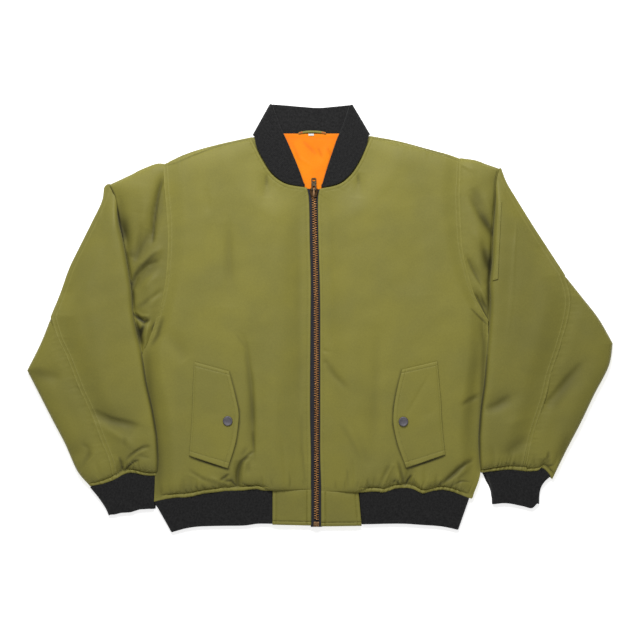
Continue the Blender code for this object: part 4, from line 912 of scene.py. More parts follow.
def cloth_layer(top, bottom, marks, closed=False, flat=None):
    """A bmesh between two grids of points. marks are numbers for each point of the grid, kept as
    attributes. A closed layer's last row meets its first."""
    rows, columns = top.shape[:2]
    made = bmesh.new()
    bmesh.ops.create_grid(made, x_segments=rows - 1, y_segments=columns - 1, size=0.5)
    row_of, column_of = made.verts.layers.int.new("row"), made.verts.layers.int.new("column")
    layers = {}
    for name, values in marks.items():
        kind = made.verts.layers.float if values.ndim == 2 else made.verts.layers.float_vector
        layers[name] = kind.new(name)
    for vert in made.verts:
        vert[row_of] = round((vert.co.x + 0.5) * (rows - 1))
        vert[column_of] = round((vert.co.y + 0.5) * (columns - 1))
    lower = bmesh.ops.extrude_face_region(made, geom=made.faces[:])["geom"]
    below = {item for item in lower if isinstance(item, bmesh.types.BMVert)}
    for vert in made.verts:
        place = vert[row_of], vert[column_of]
        vert.co = (bottom if vert in below else top)[place]
        for name, values in marks.items():
            vert[layers[name]] = values[place]
    if closed:
        ends = {0, rows - 1}
        shut = [f for f in made.faces if len({v[row_of] for v in f.verts}) == 1]
        shut = [f for f in shut if f.verts[0][row_of] in ends]
        bmesh.ops.delete(made, geom=shut, context="FACES")
        bmesh.ops.remove_doubles(made, verts=made.verts[:], dist=0.001)
    if flat is not None:
        level = [f for f in made.faces if all(abs(v.co.z - flat) < 0.0001 for v in f.verts)]
        bmesh.ops.dissolve_faces(made, faces=level)
    made.verts.layers.int.remove(made.verts.layers.int["row"])
    made.verts.layers.int.remove(made.verts.layers.int["column"])
    return made


# %% [markdown]
# ## Padded panels
#
# A panel is ruled between its outer and its inner seam line. Its rows and columns lie close
# together by the seams, where stitches pull the cloth down and the edge rounds over, and evenly
# in between. The padding rises from each seam in a quarter round, as wadding does. Every stitch
# line is a narrow groove at a fixed distance from its seam. The front's inner edge bends where
# the neckline meets the zip, so its padding rises from both parts.

# %% Panel settings
SEAM_INSET = 0.2
FOLD_INSET = 0.5
LAYER = 7.0
FRONT_BASE = 7.3
BODY_FULL = 13.5
SLEEVE_FULL = 17.5
ELBOW_FULL = 12.5
CAP_FULL = 11.5
LEAST_WALL = 2.5
GROOVE_HALF = 0.9
GATHERED = 0.9
# How much lighter the cloth is painted: outside stitched edges by rubbed wear with a painted highlight,
# and on raised seam lines by a painted highlight.
RUB_AND_HIGHLIGHT = 0.4
RAISED_SEAM_HIGHLIGHT = 0.9
SPAN_FADE = 8
PRESSED_FADE = 14
RIM_CLOSE = 0.97
DEEPEST_SHADE = 0.92
STITCH_CLEAR = 1.2
SIDE_SHARE = 0.47
EDGE_STEPS = (0, 0.3, 0.8, 1.4, 2.1, 3, 4, 5.2, 6.8, 8.8, 11, 13.5, 16.5, 20, 24)
SPACING = 2.6
# One edge of a panel: how far the padding takes to rise, the width pressed flat beside the seam,
# the radius of the rim, its stitch lines' distances, its puckers' height, pitch and reach, the
# depth of its stitch lines' grooves and how far the strip outside them swells. A rim of 0 meets
# its neighbour flush, and a groove below 0 is a raised line with a painted highlight. At a gentle
# edge the padding rises in a slope instead of a quarter round. Puckers, grooves and swelling fade
# out at the span, a distance along the edge.
Edge = namedtuple(
    "Edge", "roll margin rim stitches pucker pitch reach groove welt gentle span",
    defaults=(30, 0, 2.0, (), 0.0, 11, 14, 0.6, 0.0, False, 9999),
)
Laid = namedtuple("Laid", "piece top outer inner start end")


def near_steps(stitches, reach):
    """Distances from a seam where the grid has its lines, with five across each stitch line."""
    steps = [step for step in EDGE_STEPS if step <= reach]
    for stitch in stitches:
        steps = [step for step in steps if abs(step - stitch) > STITCH_CLEAR or step == 0]
        steps += [stitch + k * GROOVE_HALF for k in (-1, -0.5, 0, 0.5, 1)]
    return np.array(sorted(steps))


def fill_between(widths, first, last, spacing):
    """Distances across each width: near steps at both sides and an even spacing between them."""
    widths = np.asarray(widths, float)
    between = max(2, round((np.median(widths) - first[-1] - last[-1]) / spacing))
    scale = np.minimum(1, SIDE_SHARE * widths / max(first[-1], last[-1]))[:, None]
    left, right = first * scale, widths[:, None] - last[::-1] * scale
    share = np.linspace(0, 1, between + 1)[1:-1]
    middle = left[:, -1:] + (right[:, :1] - left[:, -1:]) * share
    return np.concatenate([left, middle, right], axis=1)


# %% [markdown]
# Sculpting could give such a panel too, but it couldn't be read or changed as a table can. Here
# numpy works out the height of every point: the padding's rise from all four seams, the folds,
# and then what belongs to each edge, which is its puckers, its stitch grooves and its welt. The
# lighter edges, rubbed and with a painted highlight, and the painted shade of the deep places are
# kept as attributes for the material.


# %% Laying a panel
def lay_panel(node, outer, inner, outer_height, inner_height, full, floor, edges, **cut):
    """A padded piece between two seam lines, lying on floor, a height or a function of x and y.
    edges are its outer, inner, first and last Edge. ends: the share of its height kept at the
    first and last rows. lines: curves that those rows follow, the last one lowered by end_gap.
    insets: how far its sides are drawn in from the seam lines. outer_corners, inner_corners:
    points where those turn sharply. bent: whether the inner side has two parts that both press
    the padding. reach, spacing: of the grid's lines beside a seam and between. swell: how uneven
    the cloth is. least, most: limits of its height. low: the share of a rim's height at which it
    turns under. rub: whether the strips outside its stitches are lightened, by rubbed wear and a
    painted highlight. fill: how full of
    padding it is, if it has any. It is not used."""
    ends, lines = cut.get("ends", (0.4, 0.4)), cut.get("lines", (None, None))
    insets = cut.get("insets", (SEAM_INSET, SEAM_INSET))
    outer_corners, inner_corners = cut.get("outer_corners", ()), cut.get("inner_corners", ())
    reach, spacing, low = cut.get("reach", 24), cut.get("spacing", SPACING), cut.get("low", 0.5)
    seed = seed_of(node)
    last = len(outer) - 1
    fine = np.linspace(0, last, 60 * last + 1)
    middle = (smooth_line(outer, fine, outer_corners) + smooth_line(inner, fine, inner_corners)) / 2
    reached = distances_along(middle)
    long_steps = [near_steps(edges[k].stitches, reach) for k in (2, 3)]
    start = fill_between([reached[-1]], *long_steps, spacing)[0]
    at = np.interp(start, reached, fine)
    a, b = smooth_line(outer, at, outer_corners), smooth_line(inner, at, inner_corners)
    width = np.linalg.norm(b - a, axis=1)
    unit = (b - a) / width[:, None]
    wide_steps = [near_steps(edges[k].stitches, reach) for k in (0, 1)]
    from_outer = fill_between(width, *wide_steps, spacing)
    share = from_outer / width[:, None]
    from_inner = width[:, None] - from_outer
    from_start = np.repeat(start[:, None], share.shape[1], axis=1)
    to_end = reached[-1] - from_start

    def heights(values):
        values = values if isinstance(values, list) else [values] * (last + 1)
        return np.interp(at, np.arange(last + 1), values)[:, None]

    inner_side, outer_side = b - unit * heights(insets[1]), a + unit * heights(insets[0])
    place = outer_side[:, None] + (inner_side - outer_side)[:, None] * share[..., None]
    gaps = (0, cut.get("end_gap", 0))
    for line, far, gap, row in zip(lines, (from_start, to_end), gaps, (0, -1)):
        if line is not None:
            straight = a[row] + (b[row] - a[row]) * share[..., None]
            fade = np.exp(-((far / END_REACH) ** 2))[..., None]
            place = place + (along(line, share) - straight + (0, -gap)) * fade
    x, y = place[..., 0], place[..., 1]
    risen = swelling(from_inner, edges[1])
    if cut.get("bent"):
        bend = int(np.searchsorted(at, inner_corners[0])) + 1
        near = [off_line(part, x, y)[0] for part in (place[:bend:3, -1], place[bend::3, -1])]
        from_inner = np.minimum(from_inner, np.minimum(*near))
        risen = swelling(near[0], edges[1]) * swelling(near[1], edges[1])
    tall = heights(full)
    height = tall - (tall - heights(outer_height)) * (1 - swelling(from_outer, edges[0]))
    height -= (tall - heights(inner_height)) * (1 - risen)
    height *= ends[0] + (1 - ends[0]) * swelling(from_start, edges[2])
    pressed = edges[3].margin * (1 - np.clip((edges[3].span - from_outer) / PRESSED_FADE, 0, 1))
    height *= ends[1] + (1 - ends[1]) * swelling(to_end + pressed, edges[3])
    plain = height.copy()
    height += fold_height(BROAD_FOLDS.get(node, ()), x, y) * np.minimum(1, height / (0.6 * tall))
    detail = fold_height(CREASES.get(node, ()), x, y)
    detail += cut.get("swell", 0.0) * waviness(x, y, seed, cut.get("swell_sizes", (42, 75)))
    distances = (from_outer, from_inner, from_start, to_end)
    runs = (from_start, from_start, from_outer, from_outer)
    # turned: how much lighter each point is painted, by rubbed wear with a painted highlight beside
    # stitched edges, and by a painted highlight on raised seam lines.
    turned = np.zeros_like(x)
    for k, (far, run, kind) in enumerate(zip(distances, runs, edges)):
        shown = np.clip((kind.span - run) / SPAN_FADE, 0, 1)
        if kind.pucker:
            shape = uneven(run, kind.pitch, seed + k)
            if kind.pucker > GATHERED:
                shape = 0.35 - 1.35 * (1 - np.abs(shape)) ** 3
            length = kind.reach * (1 + 0.5 * uneven(run + 31, kind.pitch * 1.7, seed + k + 9))
            detail += kind.pucker * shape * np.exp(-((far / length) ** 2)) * shown
        for stitch in kind.stitches:
            held = 1 + 0.35 * uneven(run, 9, seed + 40 + k)
            line = held * np.exp(-(((far - stitch) / GROOVE_HALF) ** 2)) * shown
            detail -= kind.groove * line
            if kind.groove < 0:
                turned = np.maximum(turned, np.clip(RAISED_SEAM_HIGHLIGHT * line, 0, 1))
        if kind.welt:
            swelled = np.sin(math.pi * np.clip(far / kind.stitches[0], 0, 1)) * shown
            dented = np.maximum(uneven(run, 8, seed + 60 + k), 0)
            detail += kind.welt * swelled * (1 - 0.5 * dented)
        if kind.stitches and kind.groove > 0 and cut.get("rub", True):
            outside = np.clip((kind.stitches[0] - far) / 3, 0, 1)
            turned = np.maximum(turned, RUB_AND_HIGHLIGHT * outside * shown)
    height += detail * np.minimum(1, height / 4)
    height = np.maximum(height, cut.get("least", LEAST_WALL))
    height = np.minimum(height, cut.get("most", np.inf))
    round_over = np.ones_like(x)
    for far, kind in zip(distances, edges):
        if kind.rim:
            round_over = np.minimum(round_over, rise(far, kind.rim))
    base = floor(x, y) if callable(floor) else np.full_like(x, float(floor))
    top = stacked(x, y, base + height * (low + (1 - low) * round_over))
    bottom = stacked(x, y, base + RIM_CLOSE * low * height * (1 - round_over))
    # Painted shade: troughs pressed below the plain padding, and the listed painted shades, darken the
    # cloth through its crease attribute.
    painted_shade = np.clip((plain - height) / 14 - 0.08, 0, 0.3)
    painted_shade *= np.minimum(1, np.min(distances, axis=0) / 6)
    listed = np.clip(fold_height(SHADES.get(node, ()), x, y), 0, DEEPEST_SHADE)
    painted_shade = 1 - (1 - painted_shade) * (1 - listed)
    marks = {"edge": turned, "crease": painted_shade}
    made = cloth_layer(top, bottom, marks, flat=None if callable(floor) else floor)
    finish, slot = cut.get("finish", (shell_cloth, "olive_nylon"))
    piece = put_object(node + "_cloth", made, finish)
    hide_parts(node)
    count = sum(len(f.vertices) - 2 for f in piece.data.polygons)
    print(f"{node}: {top.shape[0]} rows, {top.shape[1]} columns, {count} triangles")
    return Laid(piece, top, *distances)


# %% [markdown]
# ## Stitches
#
# A lockstitch shows as a row of short threads, each diving at both ends, about 3 mm long on a
# jacket like this. Each is a three-point curve with a round bevel. All of a colour are one
# curve object that becomes one mesh, so that thousands of them stay a single light piece.

# %% Stitch rows
STITCH_PITCH = 3.3
STITCH_LONG = 2.5
STITCH_DIVE, STITCH_RISE = -0.35, 0.22
THREAD_HALF = 0.34
threads = {"olive": [], "orange": []}


def stitch_along(points, colour="olive"):
    """Adds a row of stitches along a line on the cloth."""
    reached = distances_along(points)
    count = max(1, int(reached[-1] / STITCH_PITCH))
    for k in range(count):
        begin = (k + 0.5) * reached[-1] / count - STITCH_LONG / 2
        stitch = []
        for part, lift in ((0, STITCH_DIVE), (0.5, STITCH_RISE), (1, STITCH_DIVE)):
            where = begin + part * STITCH_LONG
            stitch.append([np.interp(where, reached, points[:, axis]) for axis in range(3)])
            stitch[-1][2] += lift
        threads[colour].append(stitch)


def line_on(laid, side, distance, trim):
    """The line on a laid panel at this distance from one of its edges, without the stretches
    that are nearer than trim to the two ends of that edge."""
    far = getattr(laid, side)
    if side in ("outer", "inner"):
        columns = np.argmin(np.abs(far - distance), axis=1)
        line = laid.top[np.arange(len(columns)), columns]
        before, after = laid.start[:, 0], laid.end[:, 0]
    else:
        row = int(np.argmin(np.abs(far[:, 0] - distance)))
        line, before, after = laid.top[row], laid.outer[row], laid.inner[row]
    return line[(before >= trim[0]) & (after >= trim[1])]


def stitch_rows(laid, *rows):
    """Rows of stitches on a laid panel, each from one of its edges, a distance and a trim."""
    for side, distance, trim in rows:
        stitch_along(line_on(laid, side, distance, trim))


# %% [markdown]
# ## The body
#
# The back lies on the table and carries everything. Its underside is flat where it rests and
# turns up at the rims. The two fronts lie on it: padded, with the shoulder, armhole, neck, zip
# and hem seams topstitched, and gathered where the knit hem draws them in.

# %% Back and fronts
under_edge = Edge(roll=7, rim=5)
back_edges = {side: [*SHOULDER_BACK[side], *ARMHOLE[side], *SIDE[side]] for side in ("right", "left")}
lay_panel(
    "back_panel", back_edges["right"], back_edges["left"], 6.2, 6.2, LAYER, 0, [under_edge] * 4,
    ends=(0.8, 0.8), lines=(None, HEM_BACK), outer_corners=(4, 11), inner_corners=(4, 11),
    insets=([-0.1] * 10 + [-0.6, -1.5, -4, -5, -2.2, -1.2, -1.4, -2, -3],) * 2,
    spacing=9, low=0.7, fill=0.4, rub=False,
)

ARM_STITCH, ZIP_STITCH, SHOULDER_STITCH, HEM_STITCH = 7.2, 5.4, 3.4, 7.6
# The side seam under the sleeve isn't topstitched, and nor is the hem over its blocks.
PLAIN_SIDE, PLAIN_HEM = 330, 66
SEAM_TRIM = (2, 2)
SIDE_REACH = {"right": (-3.6, -1.9, -1.7, -1.9, -4.5, -5), "left": (-4, -2.4, -2.2, -2.4, -3.5, -1)}
fronts = {}
for side in ("right", "left"):
    front_edges = [
        Edge(34, 2, 0, (0.9, ARM_STITCH), pucker=0.25, pitch=13, groove=-0.25, span=292),
        Edge(60, 2.5, 1.4, (ZIP_STITCH,), pucker=0.2, pitch=12, reach=12, groove=0.4, gentle=True),
        Edge(36, 2, 1.6, (SHOULDER_STITCH,), pucker=0.25, pitch=13, reach=12, groove=0.3),
        Edge(
            20, HEM_STITCH, 2.0, (HEM_STITCH,), pucker=1.9, pitch=16, reach=20, groove=1.1, welt=1.5,
            span=196,
        ),
    ]
    fronts[side] = lay_panel(
        f"front_{side}", ARMHOLE[side] + SIDE[side], NECKLINE[side] + ZIP_EDGE[side],
        [9.5] * 6 + [8.0, 6.5, 4.5] + [3.5] * 6, [6.5] * 5 + [5.5] + [4.5] * 9,
        BODY_FULL, FRONT_BASE, front_edges,
        insets=([-0.1] * 7 + [-1.0, -3.0, *SIDE_REACH[side]], SEAM_INSET), ends=(0.32, 0.34),
        lines=(SHOULDER[side], HEM_SEAM[side]), outer_corners=(HEAD_ROWS[side] - 1,),
        inner_corners=(5,), swell=1.0, swell_sizes=(48, 85, 140), spacing=1.8, bent=True, fill=0.45,
    )
    stitch_rows(
        fronts[side], ("outer", ARM_STITCH, (6, PLAIN_SIDE)), ("inner", ZIP_STITCH, SEAM_TRIM),
        ("start", SHOULDER_STITCH, SEAM_TRIM), ("end", HEM_STITCH, (2, PLAIN_HEM)),
    )

# %% [markdown]
# ## The sleeves
#
# Each sleeve is a padded tube that lies folded. Its head slopes from the armhole down to the
# fold, its upper side rolls over from the fold to the elbow seam, which is topstitched twice, and
# the elbow piece closes it on the outside. The gathers at the cuff end come from the knit.

# %% Sleeves
ELBOW_STITCHES, CUFF_STITCH = (2.2, 8.6), 6.8
PLAIN_ELBOW = {"right": 190, "left": 130}
head_edges = [Edge(30, 3), Edge(20, 2, 0, pucker=0.12, pitch=19, reach=12), Edge(26, 2), Edge(34)]
sleeves = {}
for side in ("right", "left"):
    rows = HEAD_ROWS[side]
    lay_panel(
        f"sleeve_{side}_head", FOLD_LINE[side][:rows], (ARMHOLE[side] + SIDE[side])[:rows],
        2.6, ([9.5] * 6 + [8.0, 6.5, 5.0])[:rows], CAP_FULL, FRONT_BASE, head_edges,
        ends=(0.4, 0.45), lines=(HEAD_LINE[side], None), insets=(0.2, -0.1), end_gap=0.8,
        swell=0.5, spacing=1.5, fill=0.5,
    )
    lay_panel(
        f"sleeve_{side}_back", SLEEVE_OUTER[side], ARMHOLE[side] + FOLD_LINE[side][8:],
        6.6, 6.4, LAYER, 0, [under_edge] * 4,
        lines=([(x, y + 1.5) for x, y in HEAD_LINE[side]], CUFF_BACK[side]), ends=(0.8, 0.8),
        insets=(0, [-0.1] * 8 + [FOLD_INSET] * (len(SLEEVE_OUTER[side]) - 8)),
        outer_corners=(8,), inner_corners=(7,), spacing=9, low=0.8, fill=0.4, rub=False,
    )
    start = ELBOW_ROW[side]
    sleeve_outer = SLEEVE_OUTER[side][: start + 1] + ELBOW_SEAM[side][1:]
    count = len(sleeve_outer)
    sleeve_edges = [
        Edge(46, 2, 0, ELBOW_STITCHES, pucker=0.25, pitch=13, groove=-0.25),
        Edge(15, 0, 6.0),
        Edge(20),
        Edge(20, CUFF_STITCH, 2.0, (CUFF_STITCH,), 1.6, 14, 18, groove=1.1, welt=1.5),
    ]
    sleeves[side] = lay_panel(
        f"sleeve_{side}_front", sleeve_outer, FOLD_LINE[side],
        [2.0] * start + [9.0] + [11.0] * (count - start - 1), [10.0] * 9 + [8.0] * (count - 9),
        [10.0, 14.0] + [SLEEVE_FULL] * (count - 4) + [15.5, 13.0], FRONT_BASE, sleeve_edges,
        ends=(0.45, 0.32), lines=(SLEEVE_TIP[side], CUFF_SEAM[side]), insets=(-0.1, -0.8),
        outer_corners=(start,), swell=0.7, spacing=2.0, low=0.35, fill=0.6,
    )
    double = [("outer", distance, (PLAIN_ELBOW[side], 3)) for distance in ELBOW_STITCHES]
    stitch_rows(sleeves[side], *double, ("end", CUFF_STITCH, SEAM_TRIM))
    outer_line, seam_line = SLEEVE_OUTER[side][start:], ELBOW_SEAM[side]
    elbow_edges = [
        Edge(30, 0, 5.0),
        Edge(20, 2, 0, pucker=0.25),
        Edge(10),
        Edge(24, CUFF_STITCH, 2.0, (CUFF_STITCH,), 1.2, 13, 15, groove=1.1, welt=1.5),
    ]
    elbow = lay_panel(
        f"sleeve_{side}_elbow", [tuple(smooth_line(outer_line, ELBOW_TIP)), *outer_line[1:]],
        [tuple(smooth_line(seam_line, ELBOW_TIP)), *seam_line[1:]],
        3.0, [9.0] + [11.0] * (len(outer_line) - 1),
        [9.5, 11.0] + [ELBOW_FULL] * (len(outer_line) - 2), FRONT_BASE, elbow_edges,
        ends=(0.8, 0.32), lines=(None, ELBOW_END[side]), insets=(0, -0.1),
        outer_corners=(8 - start,), swell=0.6, spacing=1.8, low=0.2, fill=0.55,
    )
    stitch_rows(elbow, ("end", CUFF_STITCH, SEAM_TRIM))

# %% [markdown]
# ## Hem blocks, pocket flaps and the arm pocket
#
# These are folded shell cloth with hardly any wadding. The blocks end the hem band by the zip and
# are topstitched on three sides. A flap is sewn down along its side edge and held by its snap, so
# it lies on the front, dips under the snap's cap and lifts a little at its free corners.

# %% Flat pieces
BLOCK_FLOOR = 6.0
BLOCK_THICK = 6.0
BLOCK_CORNERS = {
    "right": [(-81, -290.6), (-14.6, -290.2), (-81, -350.5), (-14.6, -352)],
    "left": [(66, -294.2), (1.6, -292.8), (71, -352.5), (1.6, -353.5)],
}
BLOCK_STITCHES = (6.4, 7.4, 6.6)
BLOCK_TRIM = 6.5
FLAP_THICK = 2.4
FLAP_LIFT = 0.8
FLAP_STITCHES = (2.4, 7.2, 6.4, 8.6)
FLAP_ROWS = {
    "right": [
        (-213, -73, -154, -89), (-215, -108, -145, -124), (-216, -140, -138, -156),
        (-217, -165, -138, -176), (-219, -197, -143, -211), (-221.7, -231.8, -156, -253.5),
    ],
    "left": [
        (199, -72, 139, -86), (202, -108, 130.5, -120), (205, -140, 125, -152), (206, -165, 124.5, -180),
        (208.5, -197, 132, -214), (212, -229.8, 146, -252.8),
    ],
}
SNAP_PLACE = {"right": (-156, -173), "left": (141, -174)}
SNAP_HOLD = 15
EVEN_ROUNDS = 12
POCKET_STITCH = 2.4
ARM_POCKET_ROWS = [
    (308, 199, 301.5, 200), (306, 173, 299.5, 173), (303.5, 124, 296.5, 124), (301, 67, 291.5, 64),
]


def halves(rows):
    """The outer and the inner line of a table whose rows hold a place on each."""
    return [row[:2] for row in rows], [row[2:] for row in rows]


def lying_on(laid, lift):
    """A function that gives the height just over a laid panel, evened out as stiff cloth is."""
    mesh = bmesh.new()
    mesh.from_mesh(laid.piece.data)
    tree = BVHTree.FromBMesh(mesh)
    mesh.free()

    def height(x, y):
        found = np.empty_like(x)
        for place in np.ndindex(x.shape):
            above = Vector((x[place] * MM, y[place] * MM, 1))
            found[place] = tree.ray_cast(above, Vector((0, 0, -1)))[0].z / MM
        even = found.copy()
        for _ in range(EVEN_ROUNDS):
            padded = np.pad(even, 1, mode="edge")
            even = (padded[:-2, 1:-1] + padded[2:, 1:-1] + padded[1:-1, :-2] + padded[1:-1, 2:]) / 4
        return np.maximum(even, found) + lift

    return height


for side in ("right", "left"):
    far_top, near_top, far_low, near_low = BLOCK_CORNERS[side]
    by_side, by_zip, by_end = BLOCK_STITCHES
    block_edges = [
        Edge(16, 0, 1.8, (by_side,), 0.15, 12, 10, groove=1.0),
        Edge(16, 0, 1.6, (by_zip,), 0.15, 12, 10, groove=1.4),
        Edge(14, 0, 1.6, (), 0.3, 12, 12),
        Edge(14, 0, 1.8, (by_end,), 0.2, 12, 10, groove=1.3),
    ]
    block = lay_panel(
        f"hem_block_{side}", [far_top, far_low], [near_top, near_low], 4, 4,
        BLOCK_THICK, BLOCK_FLOOR, block_edges, ends=(0.7, 0.6), insets=(0, 0),
        swell=0.35, swell_sizes=(26, 48), spacing=1.8, reach=9, fill=0.2,
    )
    stitch_rows(
        block, ("outer", by_side, (0, BLOCK_TRIM)), ("inner", by_zip, (0, BLOCK_TRIM)),
        ("end", by_end, (BLOCK_TRIM, BLOCK_TRIM)),
    )

    snap_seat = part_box(f"snap_cap_{side}")[0].z / MM - FLAP_THICK - 0.5
    over_front = lying_on(fronts[side], FLAP_LIFT)

    def under_flap(x, y, over=over_front, at=SNAP_PLACE[side], seat=snap_seat):
        """The front's height, drawn down to the snap's seat near it."""
        held = np.exp(-((np.hypot(x - at[0], y - at[1]) / SNAP_HOLD) ** 4))
        natural = over(x, y)
        return natural + (np.minimum(seat, natural) - natural) * held

    by_side, by_snap, by_top, by_low = FLAP_STITCHES
    flap_edges = [
        Edge(8, 0, 0.8, (by_side,), 0.1, 12, 10),
        Edge(5, 0, 1.2, (by_snap,), 0.15, 13, 12),
        Edge(5, 0, 1.2, (by_top,), 0.12, 13, 12),
        Edge(5, 0, 1.2, (by_low,), 0.15, 13, 12),
    ]
    flap = lay_panel(
        f"pocket_flap_{side}", *halves(FLAP_ROWS[side]), 1.5, FLAP_THICK, FLAP_THICK + 0.6,
        under_flap, flap_edges, ends=(0.8, 0.9), insets=(0, 0),
        swell=0.25, swell_sizes=(30, 60), spacing=2.0, reach=11, least=1.0, fill=0.2,
    )
    stitch_rows(
        flap, ("outer", by_side, (0, 0)), ("inner", by_snap, (by_top, by_low)),
        ("start", by_top, (by_side, by_snap)), ("end", by_low, (by_side, by_snap)),
    )

# %% [markdown]
# The utility pocket lies on the side of the left sleeve that is turned away. Only its sewn edge
# shows, as a narrow strip along the fold, so only that strip is laid here.

# %% Arm pocket
sewn_edge, free_edge = Edge(3, 0, 0.7, (POCKET_STITCH,), groove=0.2), Edge(3, 0, 0.7)
pocket = lay_panel(
    "arm_pocket", *halves(ARM_POCKET_ROWS), 1.2, 1.2, 1.5, lying_on(sleeves["left"], FLAP_LIFT),
    [sewn_edge, free_edge, free_edge, sewn_edge], ends=(0.9, 0.9), insets=(0, 0), spacing=0.8,
    reach=3, least=0.8, fill=0.1,
)
stitch_rows(pocket, ("outer", POCKET_STITCH, (0, 0)), ("end", POCKET_STITCH, (POCKET_STITCH, 0)))

# %% [markdown]
# ## Knit bands
#
# A rib-knit band is one long strip, folded double and sewn in. Here it is a wall that runs
# through sections, each a point on its seam and one on its folded edge, round the side where the
# band turns under. The ribs cross the band from the seam to the fold, so the rows of the grid
# follow them: five to each rib, whose relief is a cosine. On the real knit they are 2 mm apart,
# and they are made 2.6 mm apart here, so that each gets enough rows.

# %% Band sections
KNIT_WALL = 3.0
COLLAR_WALL = 3.6
RIB_PITCH = 2.6
RIB_ROWS = 5
RIB_HIGH = 0.22
TUCK = 0.9
TURN_DEGREES = (30, 60, 90, 120, 150)
BAND_STEPS = np.array([0, 0.4, 1.0, 1.9, 3.2])
BAND_SPACING = 6.0
BAND_SEAM, BAND_FREE = 8.9, 6.3
COLLAR_RIGHT = [
    (-25.8, 224.2, -27, 228.8), (-57, 230, -35, 252), (-80.5, 246.5, -46, 279), (-96, 269.5, -57, 304),
    (-107, 290, -69, 331), (-111, 307, -80, 361.5),
]
COLLAR_LEFT = [
    (2.2, 222.4, 3.6, 227.4), (31, 229.5, 12, 256), (51.5, 245.5, 21, 283), (66, 267.5, 29, 306),
    (77.5, 290, 39.5, 331), (82, 308, 49.5, 360.5),
]
COLLAR_BACK = [
    (-110, 312.2, -80, 365), (-70, 313.2, -56, 363.3), (-15, 313.2, -7, 359.4), (35, 313.4, 20, 361),
    (80.5, 313, 50.5, 364),
]
HEM_FREE = {
    "right": [
        (-81, -349), (-106, -349), (-129, -352), (-165, -352.5), (-188, -353), (-209, -354), (-229, -357),
        (-249, -362.5),
    ],
    "left": [
        (72, -350), (94, -349.5), (114, -349), (143, -349), (174, -351), (197, -352.5), (213, -354.5),
        (231.5, -358.5),
    ],
}
HEM_SPAN = {"right": (-81.8, -270.5), "left": (66.8, 249.5)}
CUFF_ROWS = {
    "right": [
        (-387.5, -356.5, -333.5), (-369, -348.5, -333), (-351, -338, -330.5), (-335, -322, -329.3),
        (-319, -308, -325), (-303, -299, -324.2), (-288.5, -291.5, -323.7),
    ],
    "left": [
        (389, 369.5, -314.5), (376, 360.5, -322.5), (359, 348, -319.8), (343, 335, -317),
        (328, 325, -315), (311, 312, -314), (293.5, 297.5, -315.5),
    ],
}


def stretch(rows, seam_z, free_z, free_end=None):
    """Sections of a band that lies flat, from rows of seam x and y, then edge x and y. The free
    edge goes from free_z to free_end."""
    count = 2 * (len(rows) - 1)
    drop = 0 if free_end is None else free_end - free_z
    made = []
    for k in range(count + 1):
        seam_x, seam_y, free_x, free_y = smooth_line(rows, k / 2)
        edge_z = free_z + drop * k / count
        made.append((Vector((seam_x, seam_y, seam_z)), Vector((free_x, free_y, edge_z))))
    return made


def turn(before, after, inside):
    """Sections of a band's rounded fold between two that lie above each other."""
    made = []
    for degrees in TURN_DEGREES:
        angle = math.radians(degrees)
        side = before[1] - before[0]
        out = Vector((side.y, -side.x, 0)).normalized()
        if out.dot(Vector((*inside, 0)) - before[0]) > 0:
            out = -out
        section = []
        for first, second in zip(before, after):
            middle, reach = (first + second) / 2, (first.z - second.z) / 2
            point = Vector((middle.x, middle.y, middle.z + reach * math.cos(angle)))
            section.append(point + out * abs(reach) * math.sin(angle))
        made.append(tuple(section))
    return made


# %% [markdown]
# The two faces of the wall are the same grid, pushed outwards and inwards along its normal by
# half of the knit's thickness. Both carry the ribs, as real ribs show on both sides, and a slow
# unevenness, without which a band looks machined.


